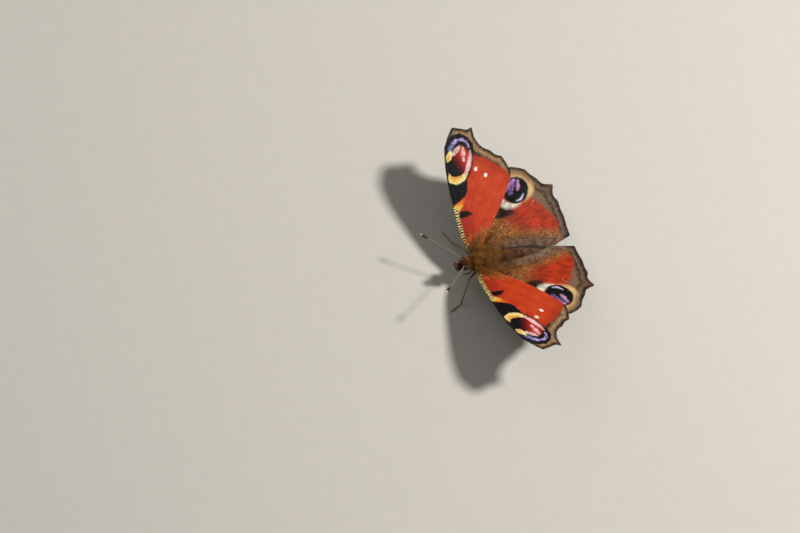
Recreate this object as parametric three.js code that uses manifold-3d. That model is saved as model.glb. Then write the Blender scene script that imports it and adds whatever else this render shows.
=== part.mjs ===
// A peacock butterfly at life size, resting on its feet with the wings held open in a shallow V.
// Millimetres. The head faces -Y, the insect's left is +X, and the feet stand on the plane Z = 0.
import * as THREE from "three";
import { mergeVertices } from "three/addons/utils/BufferGeometryUtils.js";
import Module from "manifold-3d";

const wasm = await Module();
wasm.setup();

// Driving dimensions. Body places are measured from the point midway between the antenna roots.
const ROOT_HEIGHT = 7.6; // antenna roots above the floor
const ROOT_TO_MIDDLE = 9.7; // antenna roots to the middle of the whole length
const GAP = 0.25; // clearance where one piece meets the next
const SOCKET = 0.48; // how much wider a faceted socket is cut so that the clearance holds all round
const BODY_SLOPE = Math.tan(THREE.MathUtils.degToRad(12)); // the tail end hangs lower than the head
const MEMBRANE = 0.5; // thickness of a wing between its veins
const ROOT_THICKNESS = 0.62; // thickness of a wing where it leaves the thorax
const RIDGE_AT_ROOT = 0.17; // height of a vein over the membrane near the hinge
const RIDGE_AT_MARGIN = 0.08; // and at the wing's edge
const VEIN_FOOT = 0.34; // half width of a vein's ridge
const STEM_SPACING = 0.13; // between veins that share a stem
const WING_ROWS = 12; // steps from hinge to margin

// A wing is drawn flat from its hinge, u along the chord of its inner margin or tail vein and v towards
// the leading edge, and is then turned and arched. A vein has the stem that it leaves and how far along
// it, the distance and bearing of its end from the hinge, its sideways bow, and the depth of the bay in
// the margin between it and the next vein towards the leading edge.
const FOREWING = {
  hinge: [1.67, 3.54, -1.05],
  sweep: 45.3,
  rise: 14.3,
  cant: 16.3,
  twist: 0.0053,
  droop: -0.0058,
  arch: 0.0011,
  dip: 0,
  tuck: 0,
  root: [[0.44, -0.76], [-0.83, 0.65]],
  inner: [[6, -0.5], [13, -0.55], [20.3, 0]],
  costa: [[1.45, 4.1], [4.9, 7.5], [8.2, 10.3]],
  stems: {
    anal: [[3.5, 0.5], [8, 1.2]],
    lower: [[3.5, 2.0], [7.5, 4.3], [12.2, 7.4]],
    middle: [[5.5, 4.6], [10.8, 8.6]],
    upper: [[2.6, 3.9], [6, 6.8], [9.6, 9.4]],
    front: [[1.9, 3.9], [5.2, 7.2]],
  },
  innerBay: -0.2,
  veins: [
    { name: "2A", stem: "anal", leaves: 1, reach: 21.7, bearing: 1.9, bow: 0.3, bay: -0.15 },
    { name: "Cu2", stem: "lower", leaves: 0.5, reach: 23.9, bearing: 9.4, bow: 0.5, bay: 0.3 },
    { name: "Cu1", stem: "lower", leaves: 0.8, reach: 24.3, bearing: 17.0, bow: 0.4, bay: 0.2 },
    { name: "M3", stem: "lower", leaves: 1, reach: 25.1, bearing: 23.4, bow: 0.3, bay: 0.1 },
    { name: "M2", stem: "middle", leaves: 1, reach: 26.8, bearing: 26.4, bow: 0.2, bay: 0.1, free: true },
    { name: "M1", stem: "upper", leaves: 1, reach: 28.9, bearing: 27.4, bow: 0.5, bay: 0.4 },
    { name: "R5", stem: "upper", leaves: 1, reach: 28.5, bearing: 32.9, bow: 0.5, bay: 0 },
    { name: "R4", stem: "upper", leaves: 1, reach: 28.9, bearing: 37.4, bow: 0.6, bay: -0.3 },
    { name: "R2", stem: "upper", leaves: 0.85, reach: 24.8, bearing: 43.8, bow: 0.4, bay: -0.1 },
    { name: "R1", stem: "upper", leaves: 0.65, reach: 20.6, bearing: 46.8, bow: 0.3, bay: -0.1 },
    { name: "Sc", stem: "front", leaves: 1, reach: 16.7, bearing: 49.1, bow: 0.2, bay: -0.1 },
  ],
};
const HINDWING = {
  hinge: [1.45, 5.43, -1.1],
  sweep: 60.8,
  rise: -3.1,
  cant: 20.1,
  twist: -0.0025,
  droop: 0.0022,
  arch: 0.0021,
  dip: 0.65,
  tuck: 0.65,
  root: [[1.5, -1.0], [-0.4, 0.15]],
  inner: [[5.1, -2.6], [9.4, -5.4], [11.0, -6.8], [13.2, -8.9]],
  costa: [[2.0, 3.0], [6.0, 6.9], [11.5, 10.4]],
  stems: {
    edge: [[6.2, -2.9], [11, -5.9]],
    anal: [[7, -2.3], [13, -5.6]],
    lower: [[4, -0.5], [7.5, -0.8], [11.3, -0.4]],
    middle: [[5, 0.6], [10.4, 1.4]],
    upper: [[3.5, 1.4], [6, 2.2], [9.4, 3.1]],
    front: [[4.0, 3.6], [9, 6.6]],
  },
  innerBay: 0,
  veins: [
    { name: "3A", stem: "edge", leaves: 1, reach: 18.0, bearing: -33.5, bow: 0.2, bay: 0 },
    { name: "2A", stem: "anal", leaves: 1, reach: 22.2, bearing: -29.4, bow: 0.2, bay: 0.1 },
    { name: "Cu2", stem: "lower", leaves: 0.6, reach: 22.5, bearing: -17.6, bow: -0.3, bay: 0.15 },
    { name: "Cu1", stem: "lower", leaves: 0.85, reach: 23.1, bearing: -8.7, bow: -0.2, bay: 0.75 },
    { name: "M3", stem: "lower", leaves: 1, reach: 24.6, bearing: 0.2, bow: 0, bay: 0.7 },
    { name: "M2", stem: "middle", leaves: 1, reach: 22.9, bearing: 9.3, bow: 0.2, bay: 0.2, free: true },
    { name: "M1", stem: "upper", leaves: 1, reach: 23.2, bearing: 17.3, bow: 0.4, bay: -0.1 },
    { name: "Rs", stem: "upper", leaves: 0.6, reach: 22.3, bearing: 24.3, bow: 0.5, bay: -0.3 },
    { name: "Sc", stem: "front", leaves: 1, reach: 19.9, bearing: 35.0, bow: 0.5, bay: -0.2 },
  ],
};
const TUCK_FROM = 10; // degrees of bearing where the hindwing starts to pass under the forewing
const TUCK_TO = 22;
const SLOT_DEPTH = 2; // of the slot that a wing's root stands in
const SLOT_EXTRA = 1.5; // its length beyond the root's own
const SLOT_BEND = 0.95; // its room for the wing's bend as it leaves the thorax
const DIP_REACH = 10; // distance from the hinge over which the hindwing rises to its plane

const HEAD = { middle: [0, 0.45, -0.95], front: -0.85, back: 1.4, width: 0.98, height: 1.05 };
const EYE = { middle: [1.0, 0.42, -0.78], radius: 0.8, flatness: 0.86, tallness: 1.12, socket: 0.3 };
const ANTENNA = { shaft: 0.25, club: 0.38, clubShare: 0.2 };
const ANTENNA_PATHS = {
  antenna_left: [[0.42, 0.2, -0.45], [0.85, -0.2, -0.1], [1.3, -0.6, 0.12], [5.0, -4.6, 2.6], [7.49, -7.71, 4.14]],
  antenna_right: [[-0.42, 0.2, -0.45], [-1.05, -0.1, 0], [-1.8, -0.5, 0.3], [-5.1, -4.1, 1.4], [-8.42, -7.66, 2.33]],
};
const PALP = { path: [[0.5, -0.45, -1.7], [0.56, -1.3, -1.3], [0.46, -1.85, 0.2]], radius: 0.29 };
const TONGUE = { middle: [0, -0.3, -3.1], radius: 0.62, thickness: 0.22, rolled: 0.86, mouth: 0.45, closing: 0.16 };
const THORAX = { start: 1.75, end: 9.0, axis: -1.5, height: 1.06 };
const ABDOMEN = { start: 9.28, end: 19.7, axis: -3.12, radius: 1.5, segments: 8, crease: 0.09 };
const LEG_RADIUS = { thigh: 0.36, shin: 0.28, foot: 0.26, toe: 0.2 };
const FORELEG = { path: [[0.75, 2.7, -2.9], [1.25, 1.5, -4.0], [1.15, 0.1, -3.5]], radius: 0.34, tip: 0.22 };

const FLOOR = -ROOT_HEIGHT;
const vector = ([x, y, z]) => new THREE.Vector3(x, y, z);
const smooth = (from, to, x) => THREE.MathUtils.smoothstep(x, from, to);

// Merges a geometry's shared vertices, drops collapsed triangles and turns the faces outwards.
function closed(geometry) {
  const bare = geometry.index ? geometry.toNonIndexed() : geometry.clone();
  for (const name of Object.keys(bare.attributes)) {
    if (name !== "position") bare.deleteAttribute(name);
  }
  const merged = mergeVertices(bare, 1e-4);
  const corners = merged.index.array;
  const kept = [];
  const [a, b, c] = [new THREE.Vector3(), new THREE.Vector3(), new THREE.Vector3()];
  let volume = 0;
  for (let i = 0; i < corners.length; i += 3) {
    const [p, q, r] = corners.slice(i, i + 3);
    if (p === q || q === r || r === p) continue;
    kept.push([p, q, r]);
    a.fromBufferAttribute(merged.attributes.position, p);
    b.fromBufferAttribute(merged.attributes.position, q);
    c.fromBufferAttribute(merged.attributes.position, r);
    volume += a.dot(b.cross(c));
  }
  merged.setIndex(kept.flatMap(([p, q, r]) => (volume < 0 ? [p, r, q] : [p, q, r])));
  return merged;
}

function toSolid(geometry) {
  const { attributes, index } = closed(geometry);
  return new wasm.Manifold(
    new wasm.Mesh({
      numProp: 3,
      vertProperties: new Float32Array(attributes.position.array),
      triVerts: new Uint32Array(index.array),
    }),
  );
}

// The largest closed surface of a solid, as a geometry.
function toGeometry(solid) {
  const largest = solid.decompose().reduce((best, piece) => (piece.volume() > best.volume() ? piece : best));
  const mesh = largest.getMesh();
  const points = new Float32Array(mesh.numVert * 3);
  for (let i = 0; i < mesh.numVert; i += 1) {
    points.set(mesh.vertProperties.subarray(i * mesh.numProp, i * mesh.numProp + 3), i * 3);
  }
  return new THREE.BufferGeometry()
    .setAttribute("position", new THREE.BufferAttribute(points, 3))
    .setIndex(new THREE.BufferAttribute(mesh.triVerts, 1));
}

// Cuts a socket for each neighbour, given as geometry already larger by the clearance.
function withSockets(geometry, neighbours) {
  return toGeometry(neighbours.reduce((solid, cut) => solid.subtract(toSolid(cut)), toSolid(geometry)));
}

// The same piece on the other side of the body.
function mirrored(geometry) {
  return closed(geometry.clone().scale(-1, 1, 1));
}

// A round body turned about the Y axis from [radius, y] pairs, made oval and bent by its axis height.
function turned(profile, sides, width, height, axisAt) {
  const shape = new THREE.LatheGeometry(profile.map(([r, y]) => new THREE.Vector2(r, y)), sides);
  shape.scale(width, 1, height);
  const places = shape.attributes.position;
  for (let i = 0; i < places.count; i += 1) {
    places.setZ(i, places.getZ(i) + axisAt(places.getY(i)));
  }
  return closed(shape);
}

// A tapered limb along a curve, closed at both ends. Nothing of it reaches below the floor.
function limb(path, steps, sides, radiusAt, grow = 0) {
  const curve = new THREE.CatmullRomCurve3(path.map(vector), false, "centripetal");
  const frames = curve.computeFrenetFrames(steps, false);
  const points = [];
  const faces = [];
  for (let i = 0; i <= steps; i += 1) {
    const middle = curve.getPointAt(i / steps);
    const radius = radiusAt(i / steps) + grow;
    for (let j = 0; j < sides; j += 1) {
      const angle = (2 * Math.PI * j) / sides;
      const spot = middle
        .clone()
        .addScaledVector(frames.normals[i], radius * Math.cos(angle))
        .addScaledVector(frames.binormals[i], radius * Math.sin(angle));
      points.push(spot.x, spot.y, Math.max(spot.z, FLOOR));
      if (i === steps) continue;
      const here = i * sides + j;
      const next = i * sides + ((j + 1) % sides);
      faces.push(here, next, here + sides, next, next + sides, here + sides);
    }
  }
  const ends = [0, steps].map((i) => {
    const tip = curve.getPointAt(i / steps);
    const out = frames.tangents[i].clone().multiplyScalar((i ? 1 : -1) * 0.6 * (radiusAt(i / steps) + grow));
    tip.add(out);
    points.push(tip.x, tip.y, Math.max(tip.z, FLOOR + (i ? 0.05 : 0)));
    return points.length / 3 - 1;
  });
  for (let j = 0; j < sides; j += 1) {
    const next = (j + 1) % sides;
    faces.push(ends[0], next, j);
    faces.push(ends[1], steps * sides + j, steps * sides + next);
  }
  return closed(
    new THREE.BufferGeometry()
      .setAttribute("position", new THREE.Float32BufferAttribute(points, 3))
      .setIndex(faces),
  );
}

// The three directions of a wing: out along u, forward along v, and up through its skin.
function wingAxes(wing) {
  const [sweep, rise, cant] = [wing.sweep, wing.rise, wing.cant].map(THREE.MathUtils.degToRad);
  const out = new THREE.Vector3(
    Math.cos(sweep) * Math.cos(rise),
    Math.sin(sweep) * Math.cos(rise),
    Math.sin(rise),
  );
  const level = new THREE.Vector3(Math.sin(sweep), -Math.cos(sweep), 0);
  const up = level.clone().cross(out).normalize();
  const forward = level.multiplyScalar(Math.cos(cant)).addScaledVector(up, Math.sin(cant));
  return { out, forward, skin: forward.clone().cross(out).normalize() };
}

// A place on the middle surface of a wing, raised by a height along its skin's direction.
function onWing(wing, axes, u, v, height) {
  const bearing = THREE.MathUtils.radToDeg(Math.atan2(v, Math.max(u, 1e-3)));
  const bent =
    wing.twist * u * v +
    wing.droop * u * u +
    wing.arch * v * v -
    wing.tuck * smooth(TUCK_FROM, TUCK_TO, bearing) -
    wing.dip * (1 - smooth(0, DIP_REACH, Math.hypot(u, v)));
  return vector(wing.hinge)
    .addScaledVector(axes.out, u)
    .addScaledVector(axes.forward, v)
    .addScaledVector(axes.skin, bent + height);
}

// The flat course of one vein from the wing's root to the margin, and how far along it the ridge starts.
function veinCourse(wing, vein, order, count) {
  const [from, to] = wing.root.map(([u, v]) => new THREE.Vector2(u, v));
  const root = from.clone().lerp(to, (order + 1) / (count + 1));
  const stem = new THREE.SplineCurve([root, ...wing.stems[vein.stem].map(([u, v]) => new THREE.Vector2(u, v))]);
  const sharers = wing.veins.filter((other) => other.stem === vein.stem);
  const aside = (sharers.indexOf(vein) - (sharers.length - 1) / 2) * STEM_SPACING;
  const points = [root];
  for (const share of [0.35, 0.7, 1]) {
    const along = share * vein.leaves;
    const tangent = stem.getTangentAt(along);
    points.push(stem.getPointAt(along).add(new THREE.Vector2(-tangent.y, tangent.x).multiplyScalar(aside)));
  }
  const bearing = THREE.MathUtils.degToRad(vein.bearing);
  const end = new THREE.Vector2(Math.cos(bearing), Math.sin(bearing)).multiplyScalar(vein.reach);
  const leaves = points[points.length - 1];
  const chord = end.clone().sub(leaves);
  const side = new THREE.Vector2(-chord.y, chord.x).normalize();
  points.push(leaves.clone().addScaledVector(chord, 0.5).addScaledVector(side, vein.bow), end);
  const course = new THREE.SplineCurve(points);
  const stemShare = (vein.leaves * stem.getLength()) / course.getLength();
  return { course, start: vein.free ? stemShare : 0, bay: vein.bay };
}

// Rows of flat places with their ridge heights, one column for each vein and three between veins.
function wingGrid(wing) {
  const [from, to] = wing.root.map(([u, v]) => new THREE.Vector2(u, v));
  const edge = (first, list, bay) => ({
    course: new THREE.SplineCurve([first, ...list.map(([u, v]) => new THREE.Vector2(u, v))]),
    start: 2,
    bay,
  });
  const lines = [
    edge(from, wing.inner, wing.innerBay),
    ...wing.veins.map((vein, order) => veinCourse(wing, vein, order, wing.veins.length)),
    edge(to, wing.costa, 0),
  ];
  const ridgeOf = (line, s) =>
    smooth(line.start - 0.08, line.start + 0.02, s) * THREE.MathUtils.lerp(RIDGE_AT_ROOT, RIDGE_AT_MARGIN, s);
  const grid = [];
  for (let row = 0; row <= WING_ROWS; row += 1) {
    const s = row / WING_ROWS;
    const places = [];
    lines.forEach((line, order) => {
      const here = line.course.getPointAt(s);
      places.push({ u: here.x, v: here.y, ridge: ridgeOf(line, s), s });
      if (order === lines.length - 1) return;
      const next = lines[order + 1];
      const there = next.course.getPointAt(s);
      const gap = here.distanceTo(there);
      const foot = Math.min(VEIN_FOOT / gap, 0.3);
      const shared = Math.min(ridgeOf(line, s), ridgeOf(next, s)) * (1 - smooth(0.25, 0.8, gap));
      const inward = here.clone().add(there).multiplyScalar(-0.5).normalize();
      [[foot, 0.25], [0.5, 1], [1 - foot, 0.25]].forEach(([share, depth]) => {
        const spot = here.clone().lerp(there, share);
        if (row === WING_ROWS) spot.addScaledVector(inward, line.bay * depth);
        places.push({ u: spot.x, v: spot.y, ridge: shared, s });
      });
    });
    grid.push(places);
  }
  return grid;
}

// The closed slab of a wing, its upper and lower faces split into triangles alike.
function wingSlab(wing) {
  const axes = wingAxes(wing);
  const grid = wingGrid(wing);
  const across = grid[0].length;
  const points = [];
  for (const face of [1, -1]) {
    for (const row of grid) {
      for (const { u, v, ridge, s } of row) {
        const half = THREE.MathUtils.lerp(ROOT_THICKNESS, MEMBRANE, smooth(0, 0.2, s)) / 2;
        const place = onWing(wing, axes, u, v, face * (half + ridge));
        points.push(place.x, place.y, place.z);
      }
    }
  }
  const under = grid.length * across;
  const faces = [];
  for (let row = 0; row < WING_ROWS; row += 1) {
    for (let column = 0; column < across - 1; column += 1) {
      const a = row * across + column;
      const [b, c, d] = [a + 1, a + across, a + across + 1];
      const split = column % 4 < 2 ? [a, b, c, b, d, c] : [a, b, d, a, d, c];
      faces.push(...split);
      for (let i = 0; i < 6; i += 3) faces.push(under + split[i], under + split[i + 2], under + split[i + 1]);
    }
  }
  const last = WING_ROWS * across;
  const rim = [];
  for (let column = 0; column < across - 1; column += 1) rim.push(column);
  for (let row = 0; row < WING_ROWS; row += 1) rim.push(row * across + across - 1);
  for (let column = across - 1; column > 0; column -= 1) rim.push(last + column);
  for (let row = WING_ROWS; row > 0; row -= 1) rim.push(row * across);
  rim.forEach((here, i) => {
    const next = rim[(i + 1) % rim.length];
    faces.push(here, under + next, next, here, under + here, under + next);
  });
  return closed(
    new THREE.BufferGeometry()
      .setAttribute("position", new THREE.Float32BufferAttribute(points, 3))
      .setIndex(faces),
  );
}

// The slot in the thorax that a wing's root stands in, larger than the root by the clearance.
function wingSlot(wing) {
  const axes = wingAxes(wing);
  const [from, to] = wing.root.map(([u, v]) => onWing(wing, axes, u, v, 0));
  const along = to.clone().sub(from);
  const length = along.length();
  along.normalize();
  const outward = axes.skin.clone().cross(along).normalize();
  const thickness = ROOT_THICKNESS + 2 * RIDGE_AT_ROOT + 2 * GAP + SLOT_BEND;
  const slot = new THREE.BoxGeometry(SLOT_DEPTH, length + SLOT_EXTRA, thickness);
  const middle = from.lerp(to, 0.5).addScaledVector(outward, SLOT_DEPTH / 2 - GAP);
  const turn = new THREE.Matrix4().makeBasis(outward, along, outward.clone().cross(along));
  return slot.applyMatrix4(turn.setPosition(middle));
}

function eyeball(grow = 0) {
  const ball = new THREE.SphereGeometry(EYE.radius + grow, 14, 10);
  ball.rotateX(Math.PI / 2);
  ball.scale(EYE.flatness, 1, EYE.tallness);
  return closed(ball.translate(...EYE.middle));
}

function antenna(path, grow = 0) {
  const radiusAt = (s) => {
    const swell = smooth(1 - ANTENNA.clubShare, 1 - 0.5 * ANTENNA.clubShare, s) * (1 - 0.55 * smooth(0.95, 1, s));
    return THREE.MathUtils.lerp(ANTENNA.shaft, ANTENNA.club, swell) * (1 - 0.35 * smooth(0.985, 1, s));
  };
  return limb(path, 22, 7, radiusAt, grow);
}

function palp(grow = 0) {
  return limb(PALP.path, 8, 8, (s) => PALP.radius * (1 - 0.62 * smooth(0.45, 1, s)), grow);
}

// The rolled tongue under the face, a coil that leaves the mouth and curls back under itself.
function tongue(grow = 0) {
  const path = [];
  const [x, y, z] = TONGUE.middle;
  for (let i = 0; i <= 10; i += 1) {
    const turn = Math.PI * 0.62 + (i / 10) * TONGUE.rolled * 2 * Math.PI;
    const reach = TONGUE.radius * (1 - TONGUE.closing * (i / 10));
    path.push([x, y + reach * Math.cos(turn), z + reach * Math.sin(turn)]);
  }
  const mouth = [x, y - 0.05, z + TONGUE.radius + TONGUE.mouth];
  return limb([mouth, ...path], 22, 7, (s) => TONGUE.thickness * (1 - 0.3 * s), grow);
}

const thoraxAxis = (y) => THORAX.axis - BODY_SLOPE * (y - THORAX.start);
const abdomenAxis = (y) => ABDOMEN.axis - BODY_SLOPE * (y - ABDOMEN.start);

function headCore() {
  const [, middle, level] = HEAD.middle;
  const profile = [];
  for (let i = 0; i <= 12; i += 1) {
    const angle = -Math.PI / 2 + (i / 12) * Math.PI;
    const y = middle + Math.sin(angle) * (i < 6 ? middle - HEAD.front : HEAD.back - middle);
    profile.push([i === 0 || i === 12 ? 0 : Math.pow(Math.cos(angle), 0.75), y]);
  }
  return turned(profile, 16, HEAD.width, HEAD.height, () => level);
}

function thoraxCore() {
  const collar = [[0, 1.75], [0.8, 1.78], [1.25, 2.05], [1.3, 2.35]];
  const shield = [[1.72, 2.85], [1.98, 3.7], [2.08, 4.8], [2.0, 5.9], [1.82, 6.7]];
  const rear = [[1.74, 7.0], [1.66, 7.7], [1.5, 8.4], [1.34, 8.8], [1.1, 8.98], [0, 9.0]];
  return turned([...collar, ...shield, ...rear], 20, 1, THORAX.height, thoraxAxis);
}

// The abdomen swells from its waist, tapers to the tip and is creased between its rings.
function abdomenCore() {
  const length = ABDOMEN.end - ABDOMEN.start;
  const profile = [[0, ABDOMEN.start]];
  const steps = ABDOMEN.segments * 3;
  for (let i = 0; i <= steps; i += 1) {
    const s = i / steps;
    const swell = 0.82 + 0.18 * Math.sin(Math.PI * Math.min(1, s * 1.25));
    const taper = Math.sqrt(Math.max(0, 1 - Math.pow(s, 3.2)));
    const crease = i % 3 === 0 && i > 0 && i < steps ? ABDOMEN.crease : 0;
    const radius = ABDOMEN.radius * swell * (0.12 + 0.88 * taper) - crease;
    profile.push([radius, ABDOMEN.start + 0.02 + (length - 0.06) * s]);
  }
  profile.push([0, ABDOMEN.end]);
  return turned(profile, 16, 1, 1.02, abdomenAxis);
}

// A walking leg from its hip under the thorax to a foot laid flat on the floor.
function walkingLeg({ hip, knee, ankle, toe }, grow = 0) {
  const [hipSpot, kneeSpot, ankleSpot, toeSpot] = [hip, knee, ankle, toe].map(vector);
  const near = (a, b, share) => a.clone().lerp(b, share).toArray();
  const path = [
    hip,
    near(hipSpot, kneeSpot, 0.55),
    near(hipSpot, kneeSpot, 0.93),
    near(kneeSpot, ankleSpot, 0.07),
    near(kneeSpot, ankleSpot, 0.55),
    near(kneeSpot, ankleSpot, 0.94),
    near(ankleSpot, toeSpot, 0.08),
    near(ankleSpot, toeSpot, 0.55),
    toe,
  ];
  const { thigh, shin, foot, toe: tip } = LEG_RADIUS;
  const radiusAt = (s) =>
    thigh +
    (shin - thigh) * smooth(0.3, 0.45, s) +
    (foot - shin) * smooth(0.6, 0.75, s) +
    (tip - foot) * smooth(0.9, 1, s);
  return limb(path, 18, 8, radiusAt, grow);
}

// Heights of the feet over the floor, and the places of the legs' joints.
const TOE_LIFT = FLOOR + 0.17;
const ANKLE_LIFT = FLOOR + 0.55;
const LEGS = {
  mid_leg_left: {
    hip: [1.0, 3.9, -3.6],
    knee: [3.2, 0.7, -3.1],
    ankle: [6.5, -1.7, ANKLE_LIFT],
    toe: [7.65, -4.5, TOE_LIFT],
  },
  mid_leg_right: {
    hip: [-1.0, 3.9, -3.6],
    knee: [-4.6, 2.5, -3.5],
    ankle: [-8.6, 1.6, ANKLE_LIFT],
    toe: [-11.6, 0.7, TOE_LIFT],
  },
  hind_leg_left: {
    hip: [0.9, 6.7, -4.1],
    knee: [3.2, 9.0, -3.9],
    ankle: [4.7, 12.4, ANKLE_LIFT],
    toe: [5.7, 15.6, TOE_LIFT],
  },
  hind_leg_right: {
    hip: [-0.9, 6.7, -4.1],
    knee: [-3.4, 8.8, -3.9],
    ankle: [-5.2, 12.0, ANKLE_LIFT],
    toe: [-6.4, 15.1, TOE_LIFT],
  },
};

function foreleg(grow = 0) {
  const { path, radius, tip } = FORELEG;
  return limb(path, 8, 7, (s) => radius + (tip - radius) * smooth(0.5, 1, s), grow);
}

// Colours, gloss and places of every piece.
const LOOKS = {
  forewing: { color: 0xb8431f, roughness: 0.62 },
  hindwing: { color: 0x96502c, roughness: 0.66 },
  fur: { color: 0x6b4a22, roughness: 0.9 },
  darkFur: { color: 0x43301f, roughness: 0.88 },
  eye: { color: 0x3a2018, roughness: 0.3 },
  antenna: { color: 0x2c241e, roughness: 0.6 },
  tongue: { color: 0x5d3a1c, roughness: 0.5 },
  leg: { color: 0x6e5733, roughness: 0.65 },
};

const insect = new THREE.Group();
insect.position.set(0, -ROOT_TO_MIDDLE, ROOT_HEIGHT);

function add(name, geometry, look) {
  geometry.computeVertexNormals();
  const mesh = new THREE.Mesh(geometry, new THREE.MeshStandardMaterial({ ...LOOKS[look], metalness: 0 }));
  mesh.name = name;
  insect.add(mesh);
}

const pair = (name, geometry, look) => {
  add(`${name}_left`, geometry, look);
  add(`${name}_right`, mirrored(geometry), look);
};
const bothSides = (geometry) => [geometry, mirrored(geometry)];

add(
  "head",
  withSockets(headCore(), [
    ...bothSides(eyeball(EYE.socket)),
    ...Object.values(ANTENNA_PATHS).map((path) => antenna(path, SOCKET)),
    ...bothSides(palp(SOCKET)),
    tongue(SOCKET),
  ]),
  "darkFur",
);
const [leftBall, rightBall] = bothSides(eyeball());
add("eye_left", withSockets(leftBall, [antenna(ANTENNA_PATHS.antenna_left, SOCKET)]), "eye");
add("eye_right", withSockets(rightBall, [antenna(ANTENNA_PATHS.antenna_right, SOCKET)]), "eye");
for (const [name, path] of Object.entries(ANTENNA_PATHS)) add(name, antenna(path), "antenna");
pair("palp", palp(), "darkFur");
add("proboscis", tongue(), "tongue");
add(
  "thorax",
  withSockets(thoraxCore(), [
    ...bothSides(wingSlot(FOREWING)),
    ...bothSides(wingSlot(HINDWING)),
    ...bothSides(foreleg(SOCKET)),
    ...Object.values(LEGS).map((leg) => walkingLeg(leg, SOCKET)),
  ]),
  "fur",
);
add("abdomen", abdomenCore(), "darkFur");
pair("forewing", wingSlab(FOREWING), "forewing");
pair("hindwing", wingSlab(HINDWING), "hindwing");
pair("fore_leg", foreleg(), "leg");
for (const [name, leg] of Object.entries(LEGS)) add(name, walkingLeg(leg), "leg");

const group = new THREE.Group();
group.add(insect);
group.updateMatrixWorld(true);

export default group;
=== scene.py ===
import math

import bpy
import numpy as np
from mathutils import Matrix, Vector


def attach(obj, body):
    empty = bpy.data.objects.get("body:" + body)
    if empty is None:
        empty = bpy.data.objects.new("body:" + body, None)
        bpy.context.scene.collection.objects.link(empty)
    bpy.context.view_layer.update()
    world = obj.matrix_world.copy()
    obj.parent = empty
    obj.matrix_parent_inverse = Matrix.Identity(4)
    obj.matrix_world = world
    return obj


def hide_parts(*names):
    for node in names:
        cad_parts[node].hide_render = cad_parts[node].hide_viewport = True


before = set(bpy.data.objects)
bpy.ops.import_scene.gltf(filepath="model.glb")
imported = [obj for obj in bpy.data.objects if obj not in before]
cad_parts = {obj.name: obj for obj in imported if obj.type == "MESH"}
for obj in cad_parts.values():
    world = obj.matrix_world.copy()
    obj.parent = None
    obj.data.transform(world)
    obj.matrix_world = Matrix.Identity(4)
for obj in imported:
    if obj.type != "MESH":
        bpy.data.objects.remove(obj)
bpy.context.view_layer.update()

# Places are in millimetres from the point midway between the antenna roots, with the head towards -Y,
# the insect's left towards +X and Z up. The whole is then set on the floor and centred.
MM = 0.001
ROOT_HEIGHT = 7.6  # antenna roots above the floor
ROOT_TO_MIDDLE = 9.7  # antenna roots to the middle of the whole length
TO_FRAME = np.array([0, -ROOT_TO_MIDDLE, ROOT_HEIGHT])
FLOOR = -ROOT_HEIGHT

# A wing is drawn flat from its hinge, u outwards and v towards the leading edge, then turned and arched.
# A vein gives the stem that it leaves and how far along it, the distance and bearing of its end, its bow,
# and the depth of the bay in the margin between it and the next vein towards the leading edge.
FOREWING = dict(
    hinge=(1.67, 3.54, -1.05), sweep=45.3, rise=14.3, cant=16.3,
    twist=0.0053, droop=-0.0058, arch=0.0011, dip=0, tuck=0,
    root=((0.44, -0.76), (-0.83, 0.65)),
    inner=((6, -0.5), (13, -0.55), (20.3, 0)),
    costa=((1.45, 4.1), (4.9, 7.5), (8.2, 10.3)),
    stems=dict(
        anal=((3.5, 0.5), (8, 1.2)),
        lower=((3.5, 2.0), (7.5, 4.3), (12.2, 7.4)),
        middle=((5.5, 4.6), (10.8, 8.6)),
        upper=((2.6, 3.9), (6, 6.8), (9.6, 9.4)),
        front=((1.9, 3.9), (5.2, 7.2)),
    ),
    inner_bay=-0.2,
    veins=(
        ("anal", 1, 21.7, 1.9, 0.3, -0.15), ("lower", 0.5, 23.9, 9.4, 0.5, 0.3),
        ("lower", 0.8, 24.3, 17.0, 0.4, 0.2), ("lower", 1, 25.1, 23.4, 0.3, 0.1),
        ("middle", 1, 26.8, 26.4, 0.2, 0.1), ("upper", 1, 28.9, 27.4, 0.5, 0.4),
        ("upper", 1, 28.5, 32.9, 0.5, 0), ("upper", 1, 28.9, 37.4, 0.6, -0.3),
        ("upper", 0.85, 24.8, 43.8, 0.4, -0.1), ("upper", 0.65, 20.6, 46.8, 0.3, -0.1),
        ("front", 1, 16.7, 49.1, 0.2, -0.1),
    ),
)
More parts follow.
